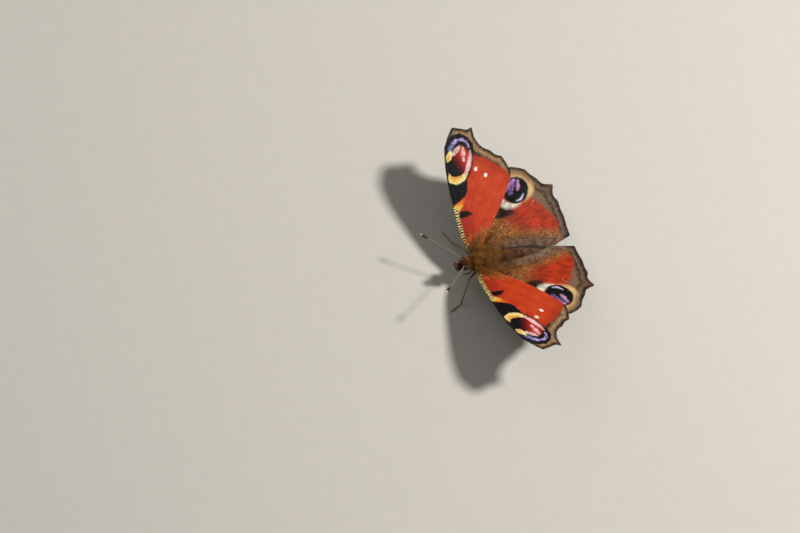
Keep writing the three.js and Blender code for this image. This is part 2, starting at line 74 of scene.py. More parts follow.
HINDWING = dict(
    hinge=(1.45, 5.43, -1.1), sweep=60.8, rise=-3.1, cant=20.1,
    twist=-0.0025, droop=0.0022, arch=0.0021, dip=0.65, tuck=0.65,
    root=((1.5, -1.0), (-0.4, 0.15)),
    inner=((5.1, -2.6), (9.4, -5.4), (11.0, -6.8), (13.2, -8.9)),
    costa=((2.0, 3.0), (6.0, 6.9), (11.5, 10.4)),
    stems=dict(
        edge=((6.2, -2.9), (11, -5.9)),
        anal=((7, -2.3), (13, -5.6)),
        lower=((4, -0.5), (7.5, -0.8), (11.3, -0.4)),
        middle=((5, 0.6), (10.4, 1.4)),
        upper=((3.5, 1.4), (6, 2.2), (9.4, 3.1)),
        front=((4.0, 3.6), (9, 6.6)),
    ),
    inner_bay=0,
    veins=(
        ("edge", 1, 18.0, -33.5, 0.2, 0), ("anal", 1, 22.2, -29.4, 0.2, 0.1),
        ("lower", 0.6, 22.5, -17.6, -0.3, 0.15), ("lower", 0.85, 23.1, -8.7, -0.2, 0.75),
        ("lower", 1, 24.6, 0.2, 0, 0.7), ("middle", 1, 22.9, 9.3, 0.2, 0.2),
        ("upper", 1, 23.2, 17.3, 0.4, -0.1), ("upper", 0.6, 22.3, 24.3, 0.5, -0.3),
        ("front", 1, 19.9, 35.0, 0.5, -0.2),
    ),
)
STEM_SPACING = 0.13
TUCK_FROM, TUCK_TO, DIP_REACH = 10, 22, 10
WING_ROWS = 110
BLOCK = 2000  # places measured at a time
BAY_SHARES = (0, 0.05, 0.12, 0.22, 0.35, 0.5, 0.65, 0.78, 0.88, 0.95)  # columns from one vein to the next
MEMBRANE = 0.11  # thickness of the scaled wing
RIB_HEIGHT = 0.05
NO_RIB = 9  # stands for the distance to a rib where there is none
ROOT_HALF = 0.28  # half the thickness of the wing at its root
PLEAT = 0.07  # depth of the soft folds between veins

# The body in cross-sections from the face to the tip of the abdomen: y, half width, half height, level.
BODY = (
    (-0.80, 0.05, 0.05, -1.00), (-0.72, 0.34, 0.40, -1.00), (-0.45, 0.56, 0.66, -0.98),
    (0.0, 0.72, 0.82, -0.95), (0.45, 0.78, 0.86, -0.95), (0.9, 0.70, 0.78, -0.98),
    (1.3, 0.56, 0.62, -1.10), (1.65, 0.72, 0.78, -1.30), (2.1, 1.05, 1.12, -1.52),
    (2.8, 1.42, 1.52, -1.72), (3.7, 1.64, 1.76, -1.92), (4.8, 1.74, 1.86, -2.15),
    (5.9, 1.68, 1.78, -2.38), (7.0, 1.46, 1.56, -2.62), (8.2, 1.26, 1.36, -2.87),
    (9.1, 1.12, 1.16, -3.06), (10.2, 1.22, 1.26, -3.31), (11.6, 1.34, 1.38, -3.61),
    (13.2, 1.36, 1.40, -3.95), (14.8, 1.24, 1.28, -4.29), (16.4, 1.04, 1.08, -4.63),
    (17.8, 0.76, 0.80, -4.93), (18.9, 0.42, 0.46, -5.16), (19.45, 0.16, 0.18, -5.28),
    (19.6, 0.03, 0.03, -5.31),
)
WAIST = 9.1
ABDOMEN_RINGS, ABDOMEN_END = 8, 19.6
BODY_ROWS, BODY_AROUND = 190, 72

EYE = dict(middle=(1.0, 0.42, -0.78), radii=(0.66, 0.76, 0.84))
ANTENNAE = dict(
    left=((0.42, 0.2, -0.45), (0.85, -0.2, -0.1), (1.3, -0.6, 0.12), (5.0, -4.6, 2.6),
          (7.49, -7.71, 4.14)),
    right=((-0.42, 0.2, -0.45), (-1.05, -0.1, 0), (-1.8, -0.5, 0.3), (-5.1, -4.1, 1.4),
           (-8.42, -7.66, 2.33)),
)
ANTENNA_RINGS = 44
PALP_PATH = ((0.44, -0.4, -1.7), (0.48, -1.2, -1.35), (0.4, -1.72, -0.6), (0.34, -1.85, 0.1))
OFF_LINE = np.array([0.31, 0.17, 0.93])  # a direction that no feeler, leg or palp follows
TONGUE_MIDDLE, TONGUE_REACH, TONGUE_TURNS = (-0.35, -3.12), 0.66, 3.2
TONGUE_WAVES = 900.0
FORELEG_PATH = ((0.75, 2.7, -2.9), (1.25, 1.5, -4.0), (1.15, 0.1, -3.5))
ANKLE_HEIGHT, TOE_HEIGHT = 0.34, 0.13
LEGS = dict(
    mid_leg_left=((1.0, 3.9, -3.6), (3.2, 0.7, -3.1), (6.5, -1.7, -7.2), (7.65, -4.5, -7.5)),
    mid_leg_right=((-1.0, 3.9, -3.6), (-4.6, 2.5, -3.5), (-8.6, 1.6, -7.2), (-11.6, 0.7, -7.5)),
    hind_leg_left=((0.9, 6.7, -4.1), (3.2, 9.0, -3.9), (4.7, 12.4, -7.2), (5.7, 15.6, -7.5)),
    hind_leg_right=((-0.9, 6.7, -4.1), (-3.4, 8.8, -3.9), (-5.2, 12.0, -7.2), (-6.4, 15.1, -7.5)),
)

# The camera looks at this place from far away; right and up are the directions of the picture's edges.
AIM = (-4.2, -13.3, -2.6)
LOOK_RIGHT = (0.3485, 0.9243, 0.1557)
LOOK_UP = (-0.8625, 0.2511, 0.4394)
VIEW_WIDTH, DISTANCE, SENSOR = 179.2, 1400, 36

SIDES = ((False, "left"), (True, "right"))  # whether a piece is the mirror image, and its side

# Scales and radians of their rows on each millimetre of a wing, and how ragged the edge of a marking is.
WING_SCALES, SCALE_ROWS = 7.5, 62.0
RAGGED, SCALE_RAGGED = 0.42, 0.16

# Hairs: shortest and longest for a length of 1, depth of the root in the skin, and how much the tip thins.
HAIR_SHORT, HAIR_LONG = 0.6, 1.15
HAIR_ROOT, HAIR_TAPER = 0.04, 0.75
HAIR_STEPS = (0, 0.35, 0.7)
HAIR_SIDES = 3
PATCH = 0.003  # width of a hair's bake patch
FRINGE_STEPS, FRINGE_WAVES = 700, 330

# Grain of the other finishes, in repeats for each metre.
HAIR_LOCKS, SKIN_MOTTLE, FEELER_GRAIN = 750.0, 900.0, 2600.0
LEG_SCALES, LEG_PATCHES = 13000.0, 900.0
EYE_FACETS, EYE_PATCHES = 14000.0, 1400.0
FLOOR_GRAIN = 300.0
FLOOR_HALF = 3.0  # half the width of the floor, in metres


def smooth(low, high, x):
    t = np.clip((x - low) / (high - low), 0, 1)
    return t * t * (3 - 2 * t)


def unit(a):
    return a / np.maximum(np.linalg.norm(a, axis=-1, keepdims=True), 1e-9)


def mix(a, b, share):
    return a + (b - a) * share


class Course:
    """A smooth line through points, read by the share of its length."""

    def __init__(self, points, fineness=60):
        p = np.array(points, float)
        before, after = np.vstack([p[:1], p[:-2]]), np.vstack([p[2:], p[-1:]])
        t = np.linspace(0, 1, fineness, endpoint=False)[None, :, None]
        a, b, c, d = before[:, None], p[:-1, None], p[1:, None], after[:, None]
        path = 0.5 * (2 * b + (c - a) * t + (2 * a - 5 * b + 4 * c - d) * t**2
                      + (3 * b - a - 3 * c + d) * t**3)
        self.path = np.vstack([path.reshape(-1, p.shape[1]), p[-1:]])
        steps = np.linalg.norm(np.diff(self.path, axis=0), axis=1)
        self.marks = np.concatenate([[0], np.cumsum(steps)])
        self.length = self.marks[-1]

    def at(self, share):
        along = np.clip(np.asarray(share, float), 0, 1) * self.length
        return np.stack([np.interp(along, self.marks, column) for column in self.path.T], -1)

    def heading(self, share):
        share = np.asarray(share, float)
        return unit(self.at(np.minimum(share + 0.005, 1)) - self.at(np.maximum(share - 0.005, 0)))


# Shader expressions.
def tone(*seen):
    """A colour as seen on screen, 0 to 255, in the shader's linear values."""
    return tuple(((c / 255 + 0.055) / 1.055) ** 2.4 if c > 10 else c / 3294.6 for c in seen) + (1,)


class Field:
    """A value that varies over a surface. Arithmetic on it adds Math or Vector Math nodes."""

    def __init__(self, paint, socket):
        self.paint, self.socket = paint, socket

    @property
    def is_vector(self):
        return self.socket.type in ("VECTOR", "RGBA")

    def _with(self, operation, *values):
        with_vector = any(isinstance(v, tuple) or isinstance(v, Field) and v.is_vector for v in values)
        kind = "VectorMath" if with_vector else "Math"
        return self.paint.node(kind, dict(operation=operation), *values)

    def __add__(self, other):
        return self._with("ADD", self, other)

    def __sub__(self, other):
        return self._with("SUBTRACT", self, other)

    def __rsub__(self, other):
        return self._with("SUBTRACT", other, self)

    def __mul__(self, other):
        return self._with("MULTIPLY", self, other)

    def __truediv__(self, other):
        return self._with("DIVIDE", self, other)

    __radd__ = __add__
    __rmul__ = __mul__

    def under(self, other):
        return self._with("MINIMUM", self, other)

    def power(self, other):
        return self._with("POWER", self, other)

    def wave(self):
        return self._with("SINE", self)

    def rise(self, low, high):
        """0 at low, 1 at high, smooth between."""
        settings = dict(interpolation_type="SMOOTHSTEP")
        return self.paint.node("MapRange", settings, self, low, high, 0.0, 1.0)

    def part(self, index):
        return self.paint.outputs("SeparateXYZ", {}, self)[index]


class Paint:
    """One material under construction."""

    def __init__(self, name):
        self.material = bpy.data.materials.new(name)
        self.material.use_nodes = True
        self.tree = self.material.node_tree
        self.shader = self.tree.nodes["Principled BSDF"]

    def outputs(self, kind, settings, *values, **named):
        node = self.tree.nodes.new("ShaderNode" + kind)
        for key, value in settings.items():
            if key == "stops":
                self._stops(node, value)
            elif key == "bends":
                self._bends(node, value)
            else:
                setattr(node, key, value)
        sockets = [s for s in node.inputs if s.enabled]
        for socket, value in zip(sockets, values):
            self.feed(socket, value)
        for key, value in named.items():
            self.feed(node.inputs[key], value)
        return [Field(self, s) for s in node.outputs if s.enabled]

    def node(self, kind, settings, *values, **named):
        return self.outputs(kind, settings, *values, **named)[0]

    def feed(self, socket, value):
        if isinstance(value, Field):
            self.tree.links.new(value.socket, socket)
        elif socket.type == "VECTOR":
            socket.default_value = value[:3] if isinstance(value, tuple) else (value,) * 3
        else:
            socket.default_value = value

    @staticmethod
    def _stops(node, stops):
        ramp = node.color_ramp
        while len(ramp.elements) < len(stops):
            ramp.elements.new(0.5)
        for element, (place, colour) in zip(ramp.elements, stops):
            element.position, element.color = place, colour

    @staticmethod
    def _bends(node, points):
        curve = node.mapping.curves[0]
        while len(curve.points) < len(points):
            curve.points.new(0.5, 0.5)
        for point, place in zip(curve.points, points):
            point.location = place
        node.mapping.update()

    def attribute(self, name, vector=False):
        found = self.outputs("Attribute", dict(attribute_name=name))
        return found[1] if vector else found[2]

    def on_piece(self):
        """The place on the piece itself, in metres."""
        return self.outputs("TexCoord", {})[3]

    def pair(self, x, y):
        return self.node("CombineXYZ", {}, x, y)

    def noise(self, where, scale, detail=2.0, roughness=0.5):
        return self.node("TexNoise", {}, Vector=where, Scale=scale, Detail=detail, Roughness=roughness)

    def cells(self, where, scale):
        """Distance to the middle of a scale, and three random numbers for each scale."""
        return self.outputs("TexVoronoi", {}, Vector=where, Scale=scale)[:2]

    def ramp(self, share, stops):
        return self.node("ValToRGB", dict(stops=stops), share)

    def curve(self, x, points):
        """A smooth line y(x) through points."""
        low, high = points[0][0], points[-1][0]
        bottom = min(y for _, y in points)
        height = max(y for _, y in points) - bottom
        bends = [((px - low) / (high - low), (py - bottom) / height) for px, py in points]
        return self.node("FloatCurve", dict(bends=bends), 1.0, (x - low) / (high - low)) * height + bottom

    def blend(self, below, above, share):
        return self.node("Mix", dict(data_type="RGBA"), share, below, above)

    def tint(self, colour, amount):
        """The colour made lighter or darker by a number around 1."""
        return self.node("VectorMath", dict(operation="SCALE"), colour, amount)

    def bump(self, height, strength, depth):
        return self.node("Bump", {}, Strength=strength, Distance=depth, Height=height)

    def finish(self, **sockets):
        for name, value in sockets.items():
            self.feed(self.shader.inputs[name.replace("_", " ")], value)
        return self.material


class Flat:
    """The flat map of a wing inside a material: shapes are drawn on it in millimetres."""

    def __init__(self, paint):
        self.paint = paint
        raw = paint.attribute("flat", vector=True)
        self.side = raw.part(2)
        self.raw_u, self.raw_v = raw.part(0), raw.part(1)
        plane = paint.pair(self.raw_u, self.raw_v)
        self.plane = plane
        squeezed = paint.pair(self.raw_u * 0.6, self.raw_v)
        self.scale_gap, self.scale_random = paint.cells(squeezed, WING_SCALES)
        stray = paint.outputs("TexNoise", {}, Vector=plane, Scale=1.6, Detail=3.0, Roughness=0.6)[1]
        centre = (0.5, 0.5, 0.5)
        ragged = (stray - centre) * (RAGGED, RAGGED, 0)
        self.place = plane + (ragged + (self.scale_random - centre) * (SCALE_RAGGED, SCALE_RAGGED, 0))
        self.u, self.v = self.place.part(0), self.place.part(1)
        self.rib = paint.attribute("rib")
        self.margin = paint.attribute("margin")
        self.front = paint.attribute("front")
        self.colour = None

    def lay(self, colour, share):
        """Lays a colour over what the wing shows so far, where the share is 1."""
        self.colour = self.paint.blend(self.colour, colour, share)

    def worms(self, scale):
        """Short wavy dashes, like rows of pale hair scales."""
        ridged = self.paint.noise(self.paint.pair(self.raw_u * 0.45, self.raw_v), scale, 4.0, 0.6)
        return ridged.rise(0.47, 0.5) * (1 - ridged.rise(0.53, 0.57))

    def oval(self, middle, radii, turn=0.0):
        """Distance from an oval's middle, 1 on its outline."""
        cos, sin = math.cos(math.radians(turn)), math.sin(math.radians(turn))
        du, dv = self.u - middle[0], self.v - middle[1]
        along = (du * cos + dv * sin) / radii[0]
        across = (dv * cos - du * sin) / radii[1]
        return (along * along + across * across).power(0.5)

    def inside(self, oval, soft=0.08):
        return 1 - oval.rise(1 - soft, 1 + soft)

    def spot(self, middle, radii, turn=0.0, soft=0.12):
        return self.inside(self.oval(middle, radii, turn), soft)

    def stroke(self, points, soft=0.12):
        """A brush stroke through (u, v, half width) places: 1 inside, 0 outside."""
        nearest = None
        for (au, av, aw), (bu, bv, bw) in zip(points, points[1:]):
            from_a = self.place - (au, av, 0.0)
            step = (bu - au, bv - av, 0.0)
            size = step[0] ** 2 + step[1] ** 2
            share = self.paint.node("VectorMath", dict(operation="DOT_PRODUCT"), from_a, step)
            share = self.paint.node("Math", dict(operation="MULTIPLY", use_clamp=True), share, 1 / size)
            reach = self.paint.tint(step, share)
            gap = self.paint.node("VectorMath", dict(operation="DISTANCE"), from_a, reach)
            away = gap - (share * (bw - aw) + aw)
            nearest = away if nearest is None else nearest.under(away)
        return 1 - nearest.rise(-soft, soft)


# Colours of the insect.
RUST = tone(198, 55, 18)
RUST_ORANGE = tone(206, 72, 26)
CRIMSON = tone(158, 28, 22)
DEEP_RUST = tone(158, 44, 12)
BLACK = tone(7, 5, 7)
SOOT = tone(32, 23, 18)
CREAM = tone(250, 228, 148)
YELLOW = tone(250, 196, 70)
AMBER = tone(236, 146, 32)
ORANGE = tone(232, 118, 34)
PINK_WHITE = tone(250, 216, 212)
LILAC = tone(194, 172, 228)
VIOLET = tone(158, 102, 196)
STEEL_BLUE = tone(92, 122, 162)
MAROON = tone(98, 10, 8)
BLOOD = tone(182, 38, 26)
OCHRE = tone(176, 138, 92)
EARTH = tone(126, 98, 68)
GREY_BROWN = tone(122, 100, 80)
UMBER = tone(60, 42, 28)
GOLD = tone(196, 132, 62)
WHITE = tone(255, 246, 232)
ORCHID = tone(208, 164, 224)
PEACH = tone(228, 184, 126)
OLIVE = tone(98, 68, 26)
ROSE = tone(240, 150, 150)
CHESTNUT, BARK = tone(140, 70, 30), tone(86, 48, 22)
STRAW = tone(222, 164, 88)
DUSK_BROWN, DUSK_PINK = tone(92, 62, 42), tone(150, 122, 102)
TAIL_RED = tone(118, 76, 56)
IVORY, ASH = tone(250, 244, 216), tone(190, 188, 170)
PINK_LILAC, PALE_LILAC = tone(226, 166, 222), tone(214, 204, 236)
SALMON = tone(220, 150, 110)


def forewing_markings(flat):
    """The upper side of a forewing."""
    p, lay, stroke, spot = flat.paint, flat.lay, flat.stroke, flat.spot
    u, v = flat.u, flat.v
    shade, grain = p.noise(flat.plane, 0.35), p.noise(flat.plane, 1.3, 3.0)
    flat.colour = p.blend(RUST, RUST_ORANGE, shade.rise(0.35, 0.7))
    lay(DEEP_RUST, u.rise(17.8, 21.4) * 0.75)
    lay(CRIMSON, spot((5.2, 4.6), (4.0, 1.5), 42, 0.6) * 0.7)
    lay(DEEP_RUST, flat.rib * 0.45)

    # Golden and olive hair scales thin out from the hinge.
    near_hinge = 1 - flat.oval((0, -0.4), (9.5, 2.9), 6).rise(0.3, 1.0)
    worm = flat.worms(2.3)
    glow = stroke([(1.0, 2.2, 0.4), (3.4, 2.9, 0.5), (4.4, 2.6, 0.1)], 1.2) * shade.rise(0.3, 0.6)
    lay(ORANGE, glow * (0.4 + grain * 0.6))
    lay(OLIVE, near_hinge.rise(0.1, 0.8) * (0.55 + worm * 0.45))
    lay(GOLD, near_hinge.rise(0.02, 0.4) * worm * 0.75)

    # The brown outer band: dark next to the red field, ochre in the middle, dark at the edge.
    border = p.curve(v, [(-2, 20.2), (0, 20.6), (1.5, 21.1), (5, 21.2), (8, 20.9), (9.6, 20.4), (12, 21.6)])
    outer = p.ramp((flat.margin + (grain - 0.5) * 1.1) / 3.2, [
        (0.02, SOOT), (0.09, UMBER), (0.2, EARTH), (0.36, OCHRE), (0.52, EARTH), (0.66, UMBER),
        (0.95, SOOT)])
    mottle = p.noise(p.pair(u * 0.8, v * 1.6), 1.9, 4.0, 0.7).rise(0.32, 0.68)
    outer = p.tint(outer, 0.55 + mottle * 0.75)
    lay(outer, (u - border + (grain - 0.5) * 0.6).rise(-0.3, 0.3))
    eye = flat.oval((17.2, 12.9), (5.8, 3.5), 20)
    lay(outer, eye.rise(0.9, 0.94) * u.rise(12.6, 13.4) * v.rise(9.6, 10.6))

    # The black mark on the leading edge, with the yellow patch and the black wedge before it.
    foot = p.curve(u, [(6.5, 9.7), (7.8, 9.0), (9.4, 8.3), (11.2, 7.85), (12.8, 8.35), (14.6, 9.2),
                       (16, 9.6)])
    black = (v - foot).rise(-0.1, 0.14) * (1 - u.rise(15.6, 16.4)) * u.rise(6.6, 7.4)
    lay(BLACK, black)
    patch = stroke([(6.6, 8.5, 0.85), (8.2, 8.1, 0.7), (10.5, 7.7, 0.1)], 0.25)
    sunny = p.ramp((u + (v - 8) * 0.6 - 6) / 4.6, [
        (0.1, CREAM), (0.34, YELLOW), (0.6, ORANGE), (0.95, RUST)])
    lay(sunny, patch * (1 - black))
    lay(BLACK, stroke([(5.9, 6.7, 0.4), (6.7, 6.5, 0.74), (7.3, 5.7, 0.58), (7.75, 4.75, 0.22)], 0.1))

    # The eyespot: black, with a dark core that warms to red, a yellow rim and a broken lilac crescent.
    lay(BLACK, flat.inside(eye, 0.03) * u.rise(13.5, 14.5))
    lay(BLACK, stroke([(17.6, 16.9, 0.16), (20.8, 16.7, 0.5), (22.4, 15.4, 0.42), (22.75, 13.4, 0.34),
                       (22.1, 11.6, 0.36), (20.5, 10.7, 0.25)]))
    depth = u - (v - 12.5) * 0.55
    core = p.ramp((depth - 13) / 8.4, [
        (0.08, BLACK), (0.24, BLACK), (0.42, MAROON), (0.6, BLOOD), (1.0, RUST)])
    lay(core, spot((16.8, 12.5), (3.9, 2.35), 14, 0.06))
    streaks = p.noise(p.pair(u * 0.45 + v * 0.12, v * 1.7), 1.9, 3.0).rise(0.42, 0.56)
    feathers = p.noise(p.pair(u * 1.5 - v * 0.8, v * 1.0 + u * 0.8), 1.5, 3.0).rise(0.42, 0.55)
    rim = stroke([(12.85, 13.9, 0.5), (12.2, 12.6, 0.76), (12.6, 11.3, 0.84), (13.8, 10.3, 0.7),
                  (15.4, 9.9, 0.36)], 0.14)
    heart = stroke([(12.9, 13.2, 0.2), (12.9, 11.9, 0.5), (14.1, 10.8, 0.4)], 0.5)
    lay(p.blend(CREAM, YELLOW, stroke([(12.3, 13.4, 0.1), (12.4, 11.6, 0.35)], 0.5)), rim)
    lay(AMBER, heart * rim * 0.9)
    rear = stroke([(15.2, 9.95, 0.34), (17.2, 10.2, 0.6), (19.3, 10.75, 0.5), (20.6, 11.4, 0.22)], 0.2)
    rosy = p.blend(ROSE, PINK_WHITE, spot((17.6, 10.4), (1.9, 0.45), 12, 0.5))
    lay(rosy, rear * (0.72 + streaks * 0.28))
    upper_streak = stroke([(17.7, 14.6, 0.32), (18.9, 14.45, 0.5), (20.2, 14.0, 0.2)], 0.25)
    lower_streak = stroke([(17.8, 11.8, 0.3), (19.2, 12.7, 0.52), (20.2, 13.2, 0.2)], 0.25)
    lay(PINK_WHITE, upper_streak * (0.35 + streaks * 0.65))
    lay(PINK_WHITE, lower_streak * (0.3 + streaks * 0.7))
    bow = stroke([(19.7, 14.95, 0.12), (20.9, 14.5, 0.24), (21.2, 13.4, 0.2), (20.9, 12.0, 0.26),
                  (19.9, 11.7, 0.1)], 0.2)
    lay(BLACK, bow * 0.9)
    crescent_top = stroke([(18.2, 15.95, 0.42), (19.7, 15.9, 0.48), (20.9, 15.4, 0.36)], 0.25)
    crescent = stroke([(21.2, 15.05, 0.24), (21.95, 14.1, 0.34), (21.95, 13.1, 0.26), (21.3, 12.1, 0.3)],
                      0.15)
    lilac = p.blend(LILAC, STEEL_BLUE, spot((18.9, 16.35), (1.3, 0.6), 0, 0.5))
    lay(lilac, crescent_top * (0.3 + feathers * 0.7))
    lay(LILAC, crescent * (0.12 + feathers * 0.88))
    second_yellow = p.blend(CREAM, AMBER, spot((16.2, 15.3), (0.9, 0.35), 5, 0.6) * 0.7)
    lay(second_yellow, spot((16.7, 15.3), (1.35, 0.66), 4, 0.16))
    for middle in ((17.55, 8.3), (17.55, 5.6)):
        lay(WHITE, spot(middle, (0.52, 0.37), 8, 0.3))

    # The leading edge is barred cream and black near the hinge and grey-brown further out.
    bars = ((flat.raw_u + flat.raw_v) * 7.2 + (grain - 0.5) * 9).wave()
    barred = p.blend(SOOT, CREAM, bars.rise(-0.3, 0.3) * (0.4 + grain * 0.9))
    strip = 1 - flat.front.rise(0.9, 1.1)
    lay(barred, strip * (1 - u.rise(6.6, 7.6)))
    rim_dark = p.blend(SOOT, EARTH, (grain - 0.5) * 2 * u.rise(17, 20))
    reach = 0.22 + u.rise(12, 13.5) * (1 - u.rise(19.5, 21)) * 0.4
    lay(rim_dark, (1 - (flat.front - reach).rise(-0.1, 0.15)) * u.rise(6.8, 7.4))
    return flat.colour


def hindwing_markings(flat):
    """The upper side of a hindwing."""
    p, lay, stroke, spot = flat.paint, flat.lay, flat.stroke, flat.spot
    u, v = flat.u, flat.v
    speckle = flat.scale_random.part(0)
    drift = p.noise(p.pair(u * 0.3, v), 1.2, 4.0)
    grain = p.noise(flat.plane, 1.4, 3.0)
    worm = flat.worms(3.0)
    rays = p.noise(p.pair(u * 0.35 + v * 0.12, v * 2.2 + u * 0.5), 1.6, 4.0, 0.6)
    flat.colour = p.blend(DEEP_RUST, RUST, drift.rise(0.42, 0.62) * u.rise(8, 14))
    lay(UMBER, flat.rib * 0.3)

    # Brown hair scales cover the base and the inner half, with golden ones among them.
    brown = p.blend(CHESTNUT, BARK, drift.rise(0.35, 0.65))
    reach = p.curve(v, [(-12, 20.5), (-9, 18.2), (-6.5, 15.4), (-4, 12.2), (-1, 9.4), (2, 9.2),
                        (4, 10.2), (8, 12)])
    covered = 1 - (u + (rays - 0.5) * 7 - reach).rise(-2.0, 2.4)
    lay(brown, covered * (0.45 + speckle * 0.55).rise(0.05, 0.6))
    wide = 1 - (u + (rays - 0.5) * 5 - reach).rise(-1.5, 3.0)
    lay(STRAW, wide * worm * 0.85)
    inner = p.curve(u, [(0, -0.9), (6, -1.6), (11, -4.0), (16, -7.6), (22, -10.6)])
    fold = 1 - (v - inner + (drift - 0.5) * 1.6).rise(-1.8, 0.5)
    dusk = p.blend(DUSK_BROWN, DUSK_PINK, p.noise(p.pair(u * 0.3, v * 1.9), 1.5, 4.0).rise(0.42, 0.66))
    lay(dusk, fold * 0.85)

    # The grey-brown margin, darker at its edge.
    border = p.curve(v, [(-12, 17.5), (-8.5, 18.2), (-5.5, 19.6), (-3, 19.4), (0.5, 18.9), (2.4, 18.6),
                         (5, 20.0), (12, 18)])
    outer = p.ramp((flat.margin + (grain - 0.5) * 1.6) / 4.0, [
        (0.02, SOOT), (0.12, UMBER), (0.3, GREY_BROWN), (0.45, UMBER), (0.62, EARTH), (1.0, GREY_BROWN)])
    outer = p.tint(outer, 0.45 + rays * 1.1)
    outer = p.blend(outer, TAIL_RED, spot((23.2, 0.1), (1.5, 0.8), 0, 0.7) * 0.45)
    lay(outer, (u - border + (speckle - 0.5) * 0.6).rise(-0.5, 0.45))

    # The eyespot: a pale ring, open towards the hinge, round a black disc with blue and lilac scales.
    pale = p.ramp((flat.margin + (grain - 0.5) * 0.8) / 4.2, [
        (0.05, UMBER), (0.16, EARTH), (0.34, OCHRE), (0.55, PEACH), (0.85, PEACH)])
    ring = flat.oval((17.3, 5.1), (4.7, 4.0), 18)
    lay(pale, flat.inside(ring, 0.12) * u.rise(15.5, 18.2) * v.rise(0.9, 2.4))
    lay(pale, v.rise(7.2, 8.4) * u.rise(12.5, 14.5))
    lay(BLACK, 0.95 * stroke([(8.9, 4.5, 0.9), (10.6, 3.6, 1.45), (12.2, 2.3, 0.85)], 0.5))
    crescent = stroke([(12.3, 5.6, 0.85), (12.75, 3.9, 0.85), (13.8, 2.75, 0.5), (15.6, 2.1, 0.14)], 0.55)
    lay(p.blend(IVORY, ASH, drift.rise(0.42, 0.62)), crescent)
    lay(BLACK, spot((16.95, 4.95), (3.3, 2.85), 18, 0.07))
    veinlets = p.noise(p.pair(u * 1.1 + v, v * 1.4 - u * 0.5), 2.4, 4.0).rise(0.45, 0.55)
    blue = p.blend(VIOLET, ORCHID, p.noise(flat.plane, 1.7).rise(0.38, 0.55))
    top_net = stroke([(15.2, 6.4, 0.35), (16.6, 6.95, 0.55), (18.3, 6.9, 0.5)], 0.25)
    lower_net = stroke([(15.5, 5.1, 0.35), (16.6, 5.8, 0.5), (17.6, 6.1, 0.35)], 0.25)
    pink_bar = stroke([(17.3, 4.7, 0.14), (18.2, 5.3, 0.42), (19.1, 6.2, 0.2)], 0.25)
    lay(blue, top_net * (0.3 + veinlets * 0.7))
    lay(blue, lower_net * veinlets * 0.8)
    lay(PINK_LILAC, pink_bar * (0.5 + veinlets * 0.5))
    lay(PALE_LILAC, stroke([(15.2, 3.05, 0.06), (16.4, 2.74, 0.27), (17.7, 3.15, 0.1)], 0.14))
    for middle in ((18.3, 0.4), (17.5, 0.1)):
        lay(SALMON, spot(middle, (0.3, 0.16), 20, 0.5) * 0.6)
    return flat.colour


def underside(flat, band_at):
    """Near black, finely striped across the wing, with a slightly paler outer band."""
    p = flat.paint
    lines = p.noise(p.pair(flat.raw_u * 3.2, flat.raw_v * 0.5), 1.0, 4.0, 0.65)
    blotch = p.noise(flat.plane, 0.45, 3.0)
    colour = p.ramp(lines * 0.7 + blotch * 0.3, [(0.36, tone(14, 11, 11)), (0.5, tone(34, 27, 24)),
                                                 (0.66, tone(70, 56, 46))])
    edge = 1 - (flat.margin + (blotch - 0.5) * 2).rise(band_at - 0.5, band_at + 0.5)
    colour = p.blend(colour, tone(74, 62, 54), edge * 0.45)
    return p.blend(colour, SOOT, 1 - flat.margin.rise(0.15, 0.5))


def wing_material(name, markings, band_at):
    paint = Paint(name)
    flat = Flat(paint)
    colour = paint.blend(underside(flat, band_at), markings(flat), flat.side.rise(0.4, 0.6))
    colour = paint.tint(colour, 0.86 + flat.scale_random.part(2) * 0.28)
    rows = (flat.raw_u * SCALE_ROWS + paint.noise(flat.plane, 2.0) * 3.0).wave()
    height = flat.scale_gap * 0.5 + rows * 0.12 + flat.scale_random.part(1) * 0.25
    return paint.finish(
        Base_Color=colour,
        Roughness=0.55 + flat.scale_random.part(0) * 0.25,
        Normal=paint.bump(height, 0.3, 0.00003),
        Specular_IOR_Level=0.18,
    )


# Mesh building.
def new_piece(name, points, faces, material, attributes=None, bake=None, mirror=False):
    """A mesh from places in millimetres, with its point attributes and bake places."""
    if mirror:
        points, faces = points * np.array([-1, 1, 1]), flipped(faces)
    mesh = bpy.data.meshes.new(name)
    mesh.vertices.add(len(points))
    mesh.vertices.foreach_set("co", ((points + TO_FRAME) * MM).astype(np.float32).ravel())
    corners = np.concatenate([np.asarray(f).ravel() for f in faces])
    sizes = np.concatenate([np.full(len(f), np.asarray(f).shape[1]) for f in faces])
    mesh.loops.add(len(corners))
    mesh.loops.foreach_set("vertex_index", corners.astype(np.int32))
    mesh.polygons.add(len(sizes))
    mesh.polygons.foreach_set("loop_start", np.concatenate([[0], np.cumsum(sizes)[:-1]]).astype(np.int32))
    mesh.polygons.foreach_set("use_smooth", np.ones(len(sizes), bool))
    mesh.update(calc_edges=True)
    for key, values in (attributes or {}).items():
        kind, field = ("FLOAT", "value") if values.ndim == 1 else ("FLOAT_VECTOR", "vector")
        layer = mesh.attributes.new(key, kind, "POINT")
        layer.data.foreach_set(field, values.astype(np.float32).ravel())
    if bake is not None:
        layer = mesh.uv_layers.new(name="OFBake")
        layer.data.foreach_set("uv", bake[corners % len(bake)].astype(np.float32).ravel())
    mesh.materials.append(material)
    obj = bpy.data.objects.new(name, mesh)
    bpy.context.scene.collection.objects.link(obj)
    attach(obj, "root")
    return obj


def grid_faces(rows, columns, wrap=False):
    strips = columns if wrap else columns - 1
    row, column = np.meshgrid(np.arange(rows - 1), np.arange(strips), indexing="ij")
    here, beside = row * columns + column, row * columns + (column + 1) % columns
    return np.stack([here, beside, beside + columns, here + columns], -1).reshape(-1, 4)


